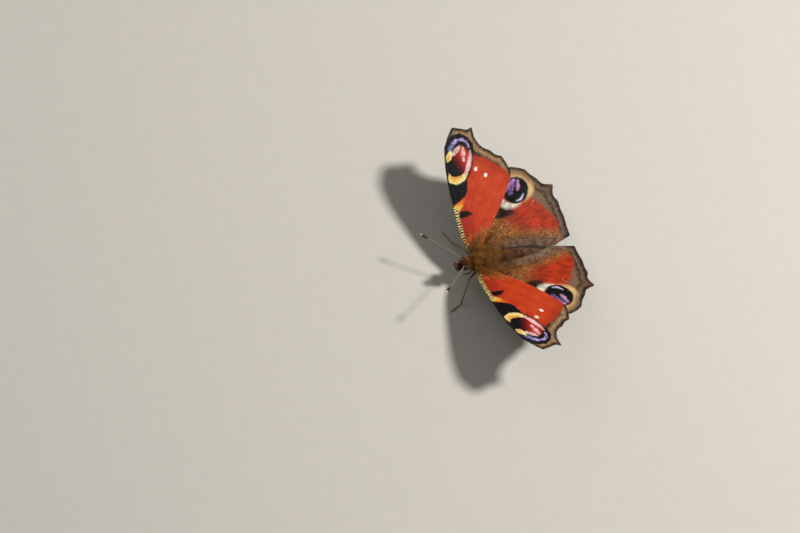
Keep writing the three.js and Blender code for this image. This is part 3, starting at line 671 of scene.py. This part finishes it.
def closed_faces(rings, sides):
    """Faces of a closed tube of rings, whose two end places come after the rings."""
    j = np.arange(sides)
    k = (j + 1) % sides
    last_ring, first = (rings - 1) * sides, rings * sides
    return [grid_faces(rings, sides, wrap=True),
            np.stack([k, j, np.full(sides, first)], -1),
            np.stack([last_ring + j, last_ring + k, np.full(sides, first + 1)], -1)]


def flipped(faces):
    return [f[:, ::-1] for f in faces]


# Wings.
class Wing:
    """The flat grid of a wing and its shape in space."""

    def __init__(self, plan):
        self.plan = plan
        sweep, rise, cant = (math.radians(plan[k]) for k in ("sweep", "rise", "cant"))
        level_out = np.array([math.cos(sweep), math.sin(sweep), 0]) * math.cos(rise)
        self.out = level_out + np.array([0, 0, math.sin(rise)])
        level = np.array([math.sin(sweep), -math.cos(sweep), 0])
        self.forward = level * math.cos(cant) + unit(np.cross(level, self.out)) * math.sin(cant)
        self.skin = unit(np.cross(self.forward, self.out))
        self.lay_out()

    def place(self, u, v, height=0.0):
        plan = self.plan
        bearing = np.degrees(np.arctan2(v, np.maximum(u, 1e-3)))
        bent = plan["twist"] * u * v + plan["droop"] * u * u + plan["arch"] * v * v
        bent = bent - plan["tuck"] * smooth(TUCK_FROM, TUCK_TO, bearing)
        bent = bent - plan["dip"] * (1 - smooth(0, DIP_REACH, np.hypot(u, v))) + height
        return (np.array(plan["hinge"]) + u[..., None] * self.out + v[..., None] * self.forward
                + bent[..., None] * self.skin)

    def vein(self, order):
        plan = self.plan
        stem_name, leaves, reach, bearing, bow, bay = plan["veins"][order]
        first, last = np.array(plan["root"])
        root = mix(first, last, (order + 1) / (len(plan["veins"]) + 1))
        stem = Course([root, *plan["stems"][stem_name]])
        sharers = [i for i, vein in enumerate(plan["veins"]) if vein[0] == stem_name]
        aside = (sharers.index(order) - (len(sharers) - 1) / 2) * STEM_SPACING
        points = [root]
        for share in (0.35, 0.7, 1):
            tangent = stem.heading(share * leaves)
            points.append(stem.at(share * leaves) + np.array([-tangent[1], tangent[0]]) * aside)
        end = np.array([math.cos(math.radians(bearing)), math.sin(math.radians(bearing))]) * reach
        chord = end - points[-1]
        side = unit(np.array([-chord[1], chord[0]]))
        return Course([*points, points[-1] + chord / 2 + side * bow, end]), bay, True

    def lay_out(self):
        plan = self.plan
        first, last = plan["root"]
        lines = [(Course([first, *plan["inner"]]), plan["inner_bay"], False)]
        lines += [self.vein(i) for i in range(len(plan["veins"]))]
        lines += [(Course([last, *plan["costa"]]), 0, False)]
        s = np.linspace(0, 1, WING_ROWS + 1)
        columns, ribs, folds = [], [], []
        for (line, bay, has_rib), (next_line, _, next_has_rib) in zip(lines, lines[1:]):
            here, there = line.at(s), next_line.at(s)
            width = np.linalg.norm(there - here, axis=1)
            inward = -unit(here + there)
            for share in BAY_SHARES:
                spot = mix(here, there, share)
                depth = bay * math.sin(math.pi * share) ** 1.4 * smooth(0.86, 1, s)
                columns.append(spot + inward * depth[:, None])
                near = np.where(has_rib, share * width, NO_RIB)
                far = np.where(next_has_rib, (1 - share) * width, NO_RIB)
                ribs.append(1 - smooth(0.05, 0.2, np.minimum(near, far)))
                folds.append(math.sin(math.pi * share) * smooth(0.3, 1.5, width))
        columns.append(lines[-1][0].at(s))
        ribs.append(np.zeros(len(s)))
        folds.append(np.zeros(len(s)))
        self.flat = np.stack(columns, 1)
        self.rib = np.stack(ribs, 1) * (1 - 0.35 * s[:, None])
        self.fold = np.stack(folds, 1)
        self.rows, self.across = self.flat.shape[:2]
        self.margin = self.distance_to(self.flat[-1])
        apex = self.flat[-1][-2 * len(BAY_SHARES) - 1:][::-1]
        self.front = self.distance_to(np.vstack([self.flat[:, -1], apex]))

    def distance_to(self, line):
        fine = Course(line, 4).path
        flat = self.flat.reshape(-1, 2)
        away = np.empty(len(flat))
        for start in range(0, len(flat), BLOCK):
            block = flat[start:start + BLOCK, None] - fine[None]
            away[start:start + BLOCK] = np.sqrt((block**2).sum(-1).min(1))
        return away.reshape(self.rows, self.across)

    def surface(self, side):
        """Places on the upper side (1) or the under side (-1)."""
        u, v = self.flat[..., 0], self.flat[..., 1]
        s = np.linspace(0, 1, self.rows)[:, None]
        thin_edge = 1 - 0.5 * (1 - smooth(0, 0.35, self.margin))
        half = mix(ROOT_HALF, MEMBRANE / 2, smooth(0, 0.12, s)) * thin_edge
        return self.place(u, v, PLEAT * self.fold + side * (half + RIB_HEIGHT * self.rib))

    def bake_places(self, under):
        low, high = self.flat.reshape(-1, 2).min(0), self.flat.reshape(-1, 2).max(0)
        scale = min(0.97 / (high[0] - low[0]), 0.48 / (high[1] - low[1]))
        spot = (self.flat - low) * scale + 0.01
        return np.stack([spot[..., 1] + (0.5 if under else 0), spot[..., 0]], -1)


def wing_piece(name, wing, mirror, material):
    upper, lower = wing.surface(1), wing.surface(-1)
    points = np.concatenate([upper.reshape(-1, 3), lower.reshape(-1, 3)])
    count = wing.rows * wing.across
    top = grid_faces(wing.rows, wing.across)
    index = np.arange(count).reshape(wing.rows, wing.across)
    rim = np.concatenate([index[0], index[1:, -1], index[-1, -2::-1], index[-2:0:-1, 0]])
    after = np.roll(rim, -1)
    band = np.stack([rim, rim + count, after + count, after], -1)
    faces = [top, top[:, ::-1] + count, band]
    flat = np.concatenate([wing.flat.reshape(-1, 2)] * 2)
    side = np.repeat([1.0, 0.0], count)
    attributes = dict(
        flat=np.column_stack([flat, side]),
        rib=np.concatenate([wing.rib.ravel()] * 2),
        margin=np.concatenate([wing.margin.ravel()] * 2),
        front=np.concatenate([wing.front.ravel()] * 2),
    )
    bake = np.concatenate([wing.bake_places(False).reshape(-1, 2), wing.bake_places(True).reshape(-1, 2)])
    return new_piece(name, points, faces, material, attributes, bake, mirror)


# Hair.
class Ground:
    """A grid that hair grows on: places, outward directions, lie of the hair, bake places and zone."""

    def __init__(self, places, outward, lie, bake, zone):
        self.places, self.outward, self.lie, self.bake, self.zone = places, outward, lie, bake, zone
        across = np.diff(places, axis=1)[:-1]
        down = np.diff(places, axis=0)[:, :-1]
        self.area = np.linalg.norm(np.cross(across, down), axis=-1)

    def sample(self, density, count, random):
        weight = self.area * (density[:-1, :-1] + density[1:, 1:]) / 2
        weight = weight.ravel() / weight.sum()
        cell = random.choice(len(weight), count, p=weight)
        row, column = np.unravel_index(cell, self.area.shape)
        a, b = random.random((2, count, 1))

        def read(grid):
            flat = grid if grid.ndim == 3 else grid[..., None]
            top = mix(flat[row, column], flat[row, column + 1], b)
            bottom = mix(flat[row + 1, column], flat[row + 1, column + 1], b)
            return mix(top, bottom, a)

        return [read(grid) for grid in (self.places, self.outward, self.lie, self.bake, self.zone)]


def coat(name, ground, density, count, length, thickness, lift, stray, droop, material, slot, seed,
         mirror=False):
    """Tapered hairs along the lie of the coat. Each is one closed tuft with its own small bake patch."""
    random = np.random.default_rng(seed)
    root, outward, lie, bake, zone = ground.sample(density, count, random)
    size = length * random.uniform(HAIR_SHORT, HAIR_LONG, (count, 1))
    aim = unit(lie * (1 - lift) + outward * lift + random.normal(0, stray, (count, 3)))
    sag = unit(lie + random.normal(0, 0.3, (count, 3))) * droop
    side = unit(np.cross(aim, outward + random.normal(0, 0.2, (count, 3))))
    other = np.cross(aim, side)
    points = []
    for step in HAIR_STEPS:
        middle = root - outward * HAIR_ROOT + size * (aim * step + sag * step * step)
        for j in range(HAIR_SIDES):
            angle = 2 * math.pi * j / HAIR_SIDES
            around = side * math.cos(angle) + other * math.sin(angle)
            points.append(middle + thickness * (1 - HAIR_TAPER * step) * around)
    points.append(root + size * (aim + sag))
    each = len(points)
    points = np.stack(points, 1).reshape(-1, 3)
    quads, triangles = [], []
    last = len(HAIR_STEPS) - 1
    for j in range(HAIR_SIDES):
        k = (j + 1) % HAIR_SIDES
        for ring in range(last):
            here = ring * HAIR_SIDES
            quads.append((here + j, here + k, here + HAIR_SIDES + k, here + HAIR_SIDES + j))
        triangles.append((last * HAIR_SIDES + j, last * HAIR_SIDES + k, each - 1))
    triangles.append((2, 1, 0))
    first = np.arange(count)[:, None, None] * each
    faces = [(np.array(shape)[None] + first).reshape(-1, len(shape[0])) for shape in (quads, triangles)]
    along = np.tile(np.append(np.repeat(HAIR_STEPS, HAIR_SIDES), 1.0), count)
    chance = np.repeat(random.random(count), each)
    strand = np.column_stack([along, chance, np.repeat(zone[:, 0], each)])
    corner = np.array([(j / 2, step) for step in HAIR_STEPS for j in range(HAIR_SIDES)] + [(0.5, 1)])
    patch = (bake[:, None] + (corner - 0.5) * PATCH).reshape(-1, 2)
    patch = np.clip(patch, 0.001, 0.999)
    return new_piece(name, points, faces, material, dict(strand=strand), patch, mirror)


def hair_material(name, zones, dark=0.5):
    """Hair coloured by zone, darker at the root, each strand a little different."""
    paint = Paint(name)
    strand = paint.attribute("strand", vector=True)
    along, chance, zone = strand.part(0), strand.part(1), strand.part(2)
    colour = paint.ramp(zone + (chance - 0.5) * 0.12, zones)
    lock = paint.noise(paint.on_piece(), HAIR_LOCKS, 3.0, 0.65).rise(0.36, 0.64)
    colour = paint.tint(colour, (dark + along * (1 - dark) + (chance - 0.5) * 0.7) * (0.55 + lock * 0.8))
    return paint.finish(Base_Color=colour, Roughness=0.45 + chance * 0.25, Specular_IOR_Level=0.25)


def wing_ground(wing, zone):
    places = wing.surface(1)
    outward = np.broadcast_to(wing.skin, places.shape)
    lie = unit(np.gradient(places, axis=0))
    return Ground(places, outward, lie, wing.bake_places(False), zone)


# The body.
def body_grid():
    table = Course(BODY, 40).path
    y = np.linspace(BODY[0][0], BODY[-1][0], BODY_ROWS)
    near_face = BODY[0][0] + (BODY[1][0] - BODY[0][0]) * np.array([0.15, 0.4])
    near_tip = BODY[-1][0] - np.array([0.02, 0.06, 0.11])
    y = np.sort(np.concatenate([y, near_face, near_tip]))
    wide, high, level = (np.interp(y, table[:, 0], table[:, k]) for k in (1, 2, 3))
    ring = (y - WAIST) / (ABDOMEN_END - WAIST) * ABDOMEN_RINGS
    crease = np.where(y > WAIST + 0.6, np.exp(-((ring - np.round(ring)) / 0.09) ** 2), 0)
    slim = 1 - 0.05 * crease * smooth(0.2, 0.8, wide)
    angle = np.linspace(0, 2 * math.pi, BODY_AROUND + 1)
    x = np.outer(wide * slim, np.sin(angle))
    z = np.outer(high * slim, -np.cos(angle)) + level[:, None]
    places = np.stack([x, np.broadcast_to(y[:, None], x.shape), z], -1)
    return places, y, angle


def body_skin(material):
    places, y, angle = body_grid()
    ring = places[:, :-1]
    rows, around = ring.shape[:2]
    points = np.concatenate([ring.reshape(-1, 3), ring[0].mean(0)[None], ring[-1].mean(0)[None]])
    faces = flipped(closed_faces(rows, around))
    zone = np.append(np.repeat(body_zone(y), around), [0, 1])
    length = (y - y[0]) / (y[-1] - y[0])
    across = np.tile(np.linspace(0.02, 0.97, around), rows)
    wrap = np.column_stack([across, np.repeat(0.02 + 0.96 * length, around)])
    wrap = np.vstack([wrap, [[0.5, 0.01], [0.5, 0.99]]])
    return new_piece("body_skin", points, faces, material, dict(zone=zone), wrap)


def body_zone(y):
    """0 on the face, 0.3 to 0.55 along the thorax, 0.6 to 1 along the abdomen."""
    marks = [-0.8, 1.2, 1.8, WAIST - 0.6, WAIST + 0.5, ABDOMEN_END]
    return np.interp(y, marks, [0, 0.15, 0.3, 0.55, 0.65, 1])


def body_ground():
    places, y, angle = body_grid()
    level = np.interp(y, [row[0] for row in BODY], [row[3] for row in BODY])
    outward = unit(places - np.stack([np.zeros_like(y), y, level], -1)[:, None])
    lie = unit(np.gradient(places, axis=0))
    share = np.stack(np.meshgrid(0.02 + 0.96 * (y - y[0]) / (y[-1] - y[0]),
                                 0.02 + 0.95 * angle / (2 * math.pi), indexing="ij")[::-1], -1)
    zone = np.broadcast_to(body_zone(y)[:, None], places.shape[:2])
    return Ground(places, outward, lie, share, zone), y, angle


def skin_material():
    paint = Paint("skin_under_fur")
    zone = paint.attribute("zone")
    mottle = paint.noise(paint.on_piece(), SKIN_MOTTLE, 3.0)
    colour = paint.ramp(zone, [
        (0.0, tone(52, 34, 22)), (0.2, tone(64, 42, 24)), (0.35, tone(84, 60, 28)),
        (0.55, tone(74, 52, 28)), (0.66, tone(52, 38, 26)), (1.0, tone(40, 30, 22))])
    colour = paint.tint(colour, 0.7 + mottle * 0.6)
    return paint.finish(Base_Color=colour, Roughness=0.55 + mottle * 0.3,
                        Normal=paint.bump(mottle, 0.5, 0.00004))


# Limbs.
def directions_round(heading, angle):
    """Outward directions round a line, for each of its headings."""
    side = unit(np.cross(heading, OFF_LINE))
    up = np.cross(side, heading)
    return side[:, None] * np.cos(angle)[None, :, None] + up[:, None] * np.sin(angle)[None, :, None]


def tube(path, radius_at, steps, sides, start=0.0, end=1.0):
    """Places and faces of a closed tapered tube, with the share of the course's length at each place."""
    share = start + (end - start) * (1 - np.cos(np.linspace(0, math.pi, steps + 1))) / 2
    middle = path.at(share)
    ring = directions_round(path.heading(share), 2 * math.pi * np.arange(sides) / sides)
    radius = np.asarray(radius_at(share), float).reshape(-1, 1, 1)
    points = (middle[:, None] + ring * radius).reshape(-1, 3)
    points = np.concatenate([points, middle[:1], middle[-1:]])
    return points, closed_faces(steps + 1, sides), np.append(np.repeat(share, sides), [start, end])


def join(parts):
    points, quads, triangles, shares, count = [], [], [], [], 0
    for place, faces, share in parts:
        points.append(place)
        shares.append(share)
        for f in faces:
            (quads if f.shape[1] == 4 else triangles).append(f + count)
        count += len(place)
    faces = [np.concatenate(quads), np.concatenate(triangles)]
    return np.concatenate(points), faces, np.concatenate(shares)


def limb_piece(name, parts, mirror, material):
    points, faces, share = join(parts)
    return new_piece(name, points, faces, material, dict(along=share), mirror=mirror)


def antenna_parts(path):
    def radius(s):
        club = smooth(0.8, 0.9, s) * (1 - 0.35 * smooth(0.94, 1.0, s))
        cap = np.sqrt(np.clip((1 - s) / 0.02, 0, 1))
        groove = 0.012 * np.abs(np.sin(s * math.pi * ANTENNA_RINGS))
        base = 0.1 * (1 - smooth(0.0, 0.03, s))
        return (mix(0.115, 0.27, club) + base - groove) * np.maximum(cap, 0.05)

    return [tube(Course(path), radius, 260, 14)]


def antenna_material():
    paint = Paint("antenna_rings")
    along = paint.attribute("along")
    rings = (along * (ANTENNA_RINGS * 2 * math.pi)).wave().rise(-0.1, 0.6)
    fine = paint.noise(paint.on_piece(), FEELER_GRAIN, 2.0)
    colour = paint.blend(tone(92, 78, 66), tone(206, 190, 166), rings * 0.75)
    colour = paint.blend(colour, tone(22, 16, 14), along.rise(0.8, 0.85))
    colour = paint.blend(colour, tone(236, 208, 158), along.rise(0.955, 0.975))
    colour = paint.tint(colour, 0.8 + fine * 0.4)
    return paint.finish(Base_Color=colour, Roughness=0.5 + fine * 0.2,
                        Normal=paint.bump(fine, 0.3, 0.00002))


def leg_parts(hip, knee, ankle, toe):
    hip, knee, ankle, toe = (np.array(p, float) for p in (hip, knee, ankle, toe))
    ankle[2], toe[2] = FLOOR + ANKLE_HEIGHT, FLOOR + TOE_HEIGHT
    thigh = Course([hip, mix(hip, knee, 0.5) + np.array([0, 0, 0.12]), knee])
    shin = Course([knee, mix(knee, ankle, 0.5) + np.array([0, 0, 0.08]), ankle])
    parts = [
        tube(thigh, lambda s: 0.2 + 0.1 * np.sin(math.pi * np.clip(s * 1.15, 0, 1)), 26, 12),
        tube(shin, lambda s: 0.155 + 0.035 * np.sin(math.pi * s) + 0.02 * smooth(0.9, 1, s), 26, 12),
    ]
    foot = Course([ankle, mix(ankle, toe, 0.3) - np.array([0, 0, 0.1]), mix(ankle, toe, 0.7), toe])
    for start, end in ((0, 0.38), (0.36, 0.56), (0.54, 0.7), (0.68, 0.83), (0.81, 0.98)):
        def thickness(s, a=start, b=end):
            return 0.1 + 0.035 * smooth(a, b, s)

        parts.append(tube(foot, thickness, 10, 10, start, end))
    heading = unit((toe - ankle) * np.array([1, 1, 0]))
    aside = np.array([-heading[1], heading[0], 0])
    for sign in (-1, 1):
        claw = Course([toe, toe + heading * 0.22 + aside * sign * 0.1 + np.array([0, 0, 0.05]),
                       toe + heading * 0.36 + aside * sign * 0.17 - np.array([0, 0, 0.09])])
        parts.append(tube(claw, lambda s: 0.045 * (1 - 0.85 * s), 8, 7))
    return parts


def leg_material():
    paint = Paint("leg_scales")
    where = paint.on_piece()
    gap, chance = paint.cells(where, LEG_SCALES)
    patch = paint.noise(where, LEG_PATCHES, 2.0)
    colour = paint.blend(tone(124, 98, 62), tone(190, 162, 116), chance.part(0).rise(0.3, 0.9))
    colour = paint.blend(colour, tone(84, 62, 40), patch.rise(0.45, 0.75) * 0.5)
    return paint.finish(Base_Color=colour, Roughness=0.5 + chance.part(1) * 0.2,
                        Normal=paint.bump(gap, 0.4, 0.00003))


def tongue_parts():
    turns = np.linspace(0, 1, 90)
    angle = math.pi * 0.5 + turns * TONGUE_TURNS * 2 * math.pi
    reach = TONGUE_REACH * (1 - 0.86 * turns)
    middle_y, middle_z = TONGUE_MIDDLE
    coil = [0.05 * np.sin(turns * 9), middle_y + reach * np.cos(angle), middle_z + reach * np.sin(angle)]
    path = np.vstack([[[0, -0.2, -1.75], [0, -0.05, -2.1], [0, 0.02, -2.35]], np.column_stack(coil)])
    return [tube(Course(path, 6), lambda s: 0.095 * (1 - 0.45 * s), 240, 10)]


def tongue_material():
    paint = Paint("tongue_rings")
    along = paint.attribute("along")
    rings = (along * TONGUE_WAVES).wave()
    colour = paint.blend(tone(70, 42, 20), tone(120, 78, 40), rings.rise(-0.6, 0.8))
    return paint.finish(Base_Color=colour, Roughness=0.35 + rings * 0.05,
                        Normal=paint.bump(rings, 0.3, 0.00002))


def palp_parts():
    def radius(s):
        return 0.21 * (1 - 0.5 * smooth(0.5, 1, s)) * np.sqrt(np.clip((1.01 - s) / 0.06, 0, 1))

    return [tube(Course(PALP_PATH), radius, 30, 12)]


def foreleg_parts():
    def radius(s):
        return (0.26 - 0.12 * s) * np.sqrt(np.clip((1.02 - s) / 0.1, 0, 1))

    return [tube(Course(FORELEG_PATH), radius, 24, 12)]


def eye_piece(name, mirror, material):
    rows, around = 40, 56
    polar = np.linspace(0.02, math.pi - 0.02, rows)
    turn = 2 * math.pi * np.arange(around) / around
    radii = np.array(EYE["radii"])
    ball = np.stack([np.outer(np.cos(polar), np.ones(around)), np.outer(np.sin(polar), np.cos(turn)),
                     np.outer(np.sin(polar), np.sin(turn))], -1)
    points = (ball * radii + np.array(EYE["middle"])).reshape(-1, 3)
    ends = np.array([[radii[0], 0, 0], [-radii[0], 0, 0]]) + np.array(EYE["middle"])
    points = np.concatenate([points, ends])
    faces = flipped(closed_faces(rows, around))
    obj = new_piece(name, points, faces, material, mirror=mirror)
    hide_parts(name.replace("eyeball", "eye"))


def eye_material():
    paint = Paint("compound_eye")
    where = paint.on_piece()
    gap, chance = paint.cells(where, EYE_FACETS)
    patch = paint.noise(where, EYE_PATCHES, 2.0)
    colour = paint.blend(tone(84, 36, 26), tone(126, 58, 38), patch.rise(0.4, 0.65))
    colour = paint.blend(colour, tone(30, 13, 10), gap.rise(0.35, 0.6))
    return paint.finish(Base_Color=colour, Roughness=0.38 + chance.part(0) * 0.12,
                        Normal=paint.bump(1 - gap, 0.5, 0.00003), Specular_IOR_Level=0.35)


def make_wings():
    plans = (
        ("forewing", Wing(FOREWING), wing_material("forewing_scales", forewing_markings, 3.2)),
        ("hindwing", Wing(HINDWING), wing_material("hindwing_scales", hindwing_markings, 2.6)),
    )
    made = {}
    for kind, wing, material in plans:
        made[kind] = wing
        for mirror, side in SIDES:
            obj = wing_piece(f"{kind}_skin_{side}", wing, mirror, material)
            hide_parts(f"{kind}_{side}")
    return made


def make_wing_hair(wings):
    fore, hind = wings["forewing"], wings["hindwing"]
    u, v = fore.flat[..., 0], fore.flat[..., 1]
    reach = np.hypot(u / 1.25, v)
    fore_density = np.exp(-((reach / 2.6) ** 2)) + 0.05 * np.exp(-((u - 3) / 5) ** 2) * (v < 1.5)
    fore_ground = wing_ground(fore, smooth(0, 5, reach))
    gold = hair_material("forewing_base_hair", [
        (0.0, tone(140, 96, 38)), (0.5, tone(176, 112, 46)), (1.0, tone(196, 100, 40))], dark=0.65)
    u, v = hind.flat[..., 0], hind.flat[..., 1]
    inner = hind.distance_to(hind.flat[:, 0])
    reach = np.hypot(u, v)
    near = 0.8 * np.exp(-((reach / 4.2) ** 2)) + np.exp(-((inner / 2.0) ** 2)) + 0.08 * (reach < 13)
    hind_density = near * (1 - smooth(14, 19, reach) * 0.85) * (1 - 0.9 * smooth(2.5, 4.5, v))
    hind_zone = 0.5 * smooth(2, 9, reach) + 0.5 * (1 - smooth(0.6, 2.8, inner))
    hind_ground = wing_ground(hind, np.clip(hind_zone, 0, 1))
    earthy = hair_material("hindwing_base_hair", [
        (0.0, tone(150, 100, 44)), (0.35, tone(176, 106, 50)), (0.6, tone(150, 98, 60)),
        (1.0, tone(182, 148, 120))], dark=0.6)
    for mirror, side in SIDES:
        coat(f"forewing_hair_{side}", fore_ground, fore_density, 2200, 0.85, 0.018, 0.16, 0.16, 0.1,
             gold, "forewing", 11, mirror)
        coat(f"hindwing_hair_{side}", hind_ground, hind_density, 6500, 1.25, 0.017, 0.13, 0.13, 0.1,
             earthy, "hindwing", 12, mirror)
    make_fringe(wings)


def make_fringe(wings):
    """Short hair scales that stand out from the edges of the wings."""
    fringe = hair_material("wing_fringe", [
        (0.0, tone(70, 54, 40)), (0.5, tone(116, 94, 70)), (1.0, tone(172, 150, 118))], dark=0.75)
    for seed, (kind, wing) in enumerate(wings.items(), 21):
        edge = np.vstack([wing.flat[WING_ROWS // 4:, 0], wing.flat[-1, 1:-1]])
        line = Course(edge, 3)
        share = np.linspace(0.0, 1.0, FRINGE_STEPS)
        spot, heading = line.at(share), line.heading(share)
        out = np.column_stack([heading[:, 1], -heading[:, 0]])
        middle = wing.place(spot[:, 0], spot[:, 1])
        beyond = wing.place(spot[:, 0] + out[:, 0], spot[:, 1] + out[:, 1])
        aim = unit(beyond - middle)
        inside = mix(middle, beyond, -0.1)
        places = np.stack([inside, middle], 1)
        outward = np.broadcast_to(wing.skin, places.shape)
        lie = np.stack([aim, aim], 1)
        bake = 0.02 + 0.9 * np.stack([share, np.full_like(share, 0.5)], -1)
        zone = np.stack([0.5 + 0.5 * np.sin(share * FRINGE_WAVES)] * 2, 1)
        ground = Ground(places, outward, lie, np.stack([bake, bake + 0.002], 1), zone)
        for mirror, side in SIDES:
            coat(f"{kind}_fringe_{side}", ground, np.ones(places.shape[:2]), 3200, 0.2, 0.024, 0.02, 0.15,
                 0.0, fringe, kind, seed, mirror)


def make_body():
    skin = body_skin(skin_material())
    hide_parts("head", "thorax", "abdomen")
    ground, y, angle = body_ground()
    top = -np.cos(angle)[None]
    beside = np.abs(np.sin(angle))[None]
    y = y[:, None]
    thorax = smooth(0.8, 1.5, y) * (1 - smooth(8.8, 10.5, y)) * (0.75 + 0.25 * top)
    head = 1 - smooth(1.3, 1.8, y)
    abdomen = smooth(8.6, 9.4, y)
    olive = hair_material("thorax_hair", [
        (0.0, tone(146, 92, 34)), (0.3, tone(160, 106, 38)), (0.45, tone(146, 98, 40)),
        (0.6, tone(124, 84, 38)), (1.0, tone(84, 58, 34))], dark=0.4)
    dark = hair_material("abdomen_hair", [
        (0.0, tone(124, 78, 34)), (0.65, tone(142, 86, 42)), (0.8, tone(146, 98, 62)),
        (1.0, tone(160, 118, 84))], dark=0.45)
    face = hair_material("head_hair", [
        (0.0, tone(140, 76, 44)), (0.1, tone(126, 74, 38)), (0.3, tone(150, 98, 40))], dark=0.4)
    away_from_eyes = 1 - 0.85 * np.exp(-(((y - 0.4) / 0.6) ** 2)) * (beside > 0.75)
    shoulder = smooth(3.2, 4.2, y) * (1 - smooth(6.4, 7.4, y)) * (beside > 0.6) * (top > -0.1)
    collar = smooth(0.6, 1.0, y) * (1 - smooth(1.6, 2.3, y))
    upper, lower = thorax * (top > -0.2), thorax * (top <= -0.2)
    # Name, where it grows, hairs, length, thickness, lift, stray, droop, material, slot and seed.
    coats = (
        ("thorax_hair_upper", upper, 12000, 1.5, 0.024, 0.36, 0.2, 0.3, olive, "body_fur", 31),
        ("thorax_hair_lower", lower, 5000, 0.8, 0.022, 0.3, 0.13, 0.2, olive, "body_fur", 32),
        ("abdomen_hair", abdomen, 12000, 0.8, 0.02, 0.26, 0.16, 0.15, dark, "abdomen_fur", 33),
        ("head_hair", head * away_from_eyes, 6000, 0.62, 0.017, 0.6, 0.25, 0.05, face, "body_fur", 34),
        ("shoulder_hair", shoulder, 3500, 2.1, 0.022, 0.55, 0.16, 0.3, olive, "body_fur", 36),
        ("collar_hair", collar, 3500, 0.85, 0.02, 0.62, 0.25, 0.2, olive, "body_fur", 35),
    )
    for name, where, *rest in coats:
        coat(name, ground, np.broadcast_to(where, ground.zone.shape), *rest)


def make_palps(material):
    hair = hair_material("palp_hair", [
        (0.0, tone(84, 54, 36)), (0.5, tone(128, 86, 54)), (1.0, tone(176, 136, 96))])
    path = Course(PALP_PATH)
    share = np.linspace(0.02, 0.98, 30)
    turn = np.linspace(0, 2 * math.pi, 17)
    heading = path.heading(share)
    outward = directions_round(heading, turn)
    radius = (0.2 * (1 - 0.5 * smooth(0.5, 1, share)))[:, None, None]
    places = path.at(share)[:, None] + outward * radius
    lie = np.broadcast_to(heading[:, None], places.shape)
    bake = np.stack(np.meshgrid(0.05 + 0.9 * share, 0.05 + 0.9 * turn / 7, indexing="ij"), -1)
    ground = Ground(places, outward, lie, bake, np.broadcast_to(share[:, None], places.shape[:2]))
    for mirror, label in SIDES:
        core = limb_piece(f"palp_core_{label}", palp_parts(), mirror, material)
        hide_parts(f"palp_{label}")
        coat(f"palp_hair_{label}", ground, np.ones(places.shape[:2]), 2000, 0.42, 0.014, 0.36, 0.16, 0.0,
             hair, "body_fur", 41, mirror)


def make_limbs():
    ringed, scaled, dark = antenna_material(), leg_material(), eye_material()
    for mirror, side in SIDES:
        shaft = antenna_parts(ANTENNAE[side])
        feeler = limb_piece(f"antenna_shaft_{side}", shaft, False, ringed)
        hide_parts(f"antenna_{side}")
        brush = limb_piece(f"fore_leg_scaled_{side}", foreleg_parts(), mirror, scaled)
        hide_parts(f"fore_leg_{side}")
        eye_piece(f"eyeball_{side}", mirror, dark)
    for name, joints in LEGS.items():
        leg = limb_piece(f"{name}_scaled", leg_parts(*joints), False, scaled)
        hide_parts(name)
    coil = limb_piece("tongue_coil", tongue_parts(), False, tongue_material())
    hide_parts("proboscis")
    make_palps(scaled)


def make_stage():
    """A plain pale floor and soft light from above and behind."""
    corners = [(x * FLOOR_HALF, y * FLOOR_HALF, 0) for x, y in ((-1, -1), (1, -1), (1, 1), (-1, 1))]
    mesh = bpy.data.meshes.new("floor")
    mesh.from_pydata(corners, [], [(0, 1, 2, 3)])
    paint = Paint("pale_floor")
    grain = paint.noise(paint.on_piece(), FLOOR_GRAIN, 3.0)
    mesh.materials.append(paint.finish(Base_Color=paint.tint(tone(224, 217, 204), 0.97 + grain * 0.06),
                                       Roughness=0.8))
    floor = bpy.data.objects.new("floor", mesh)
    bpy.context.scene.collection.objects.link(floor)

    world = bpy.data.worlds.new("soft_room")
    world.use_nodes = True
    background = world.node_tree.nodes["Background"].inputs
    background["Color"].default_value = (0.95, 0.97, 1.0, 1)
    background["Strength"].default_value = 0.15
    bpy.context.scene.world = world
    bpy.context.scene.view_settings.view_transform = "Standard"
    for name, place, width, power in (
        ("key_light", (0.05, 0.42, 0.55), 0.1, 4.1),
        ("fill_light", (-0.5, -0.35, 0.5), 0.6, 0.7),
    ):
        light = bpy.data.lights.new(name, "AREA")
        light.shape, light.size, light.energy = "DISK", width, power
        lamp = bpy.data.objects.new(name, light)
        lamp.location = place
        lamp.rotation_euler = (-Vector(place)).to_track_quat("-Z", "Y").to_euler()
        bpy.context.scene.collection.objects.link(lamp)


def make_camera():
    """A long lens at the photo's viewing angle."""
    right, up = Vector(LOOK_RIGHT).normalized(), Vector(LOOK_UP).normalized()
    back = right.cross(up).normalized()
    up = back.cross(right)
    target = (Vector(AIM) + Vector(TO_FRAME)) * MM
    camera = bpy.data.cameras.new("camera")
    camera.sensor_width = SENSOR
    camera.lens = SENSOR * DISTANCE / VIEW_WIDTH
    camera.clip_start, camera.clip_end = 0.01, 10
    holder = bpy.data.objects.new("camera", camera)
    place = target + back * DISTANCE * MM
    holder.matrix_world = Matrix((right, up, back)).transposed().to_4x4()
    holder.location = place
    bpy.context.scene.collection.objects.link(holder)
    bpy.context.scene.camera = holder


wings = make_wings()
make_wing_hair(wings)
make_body()
make_limbs()
make_stage()
make_camera()
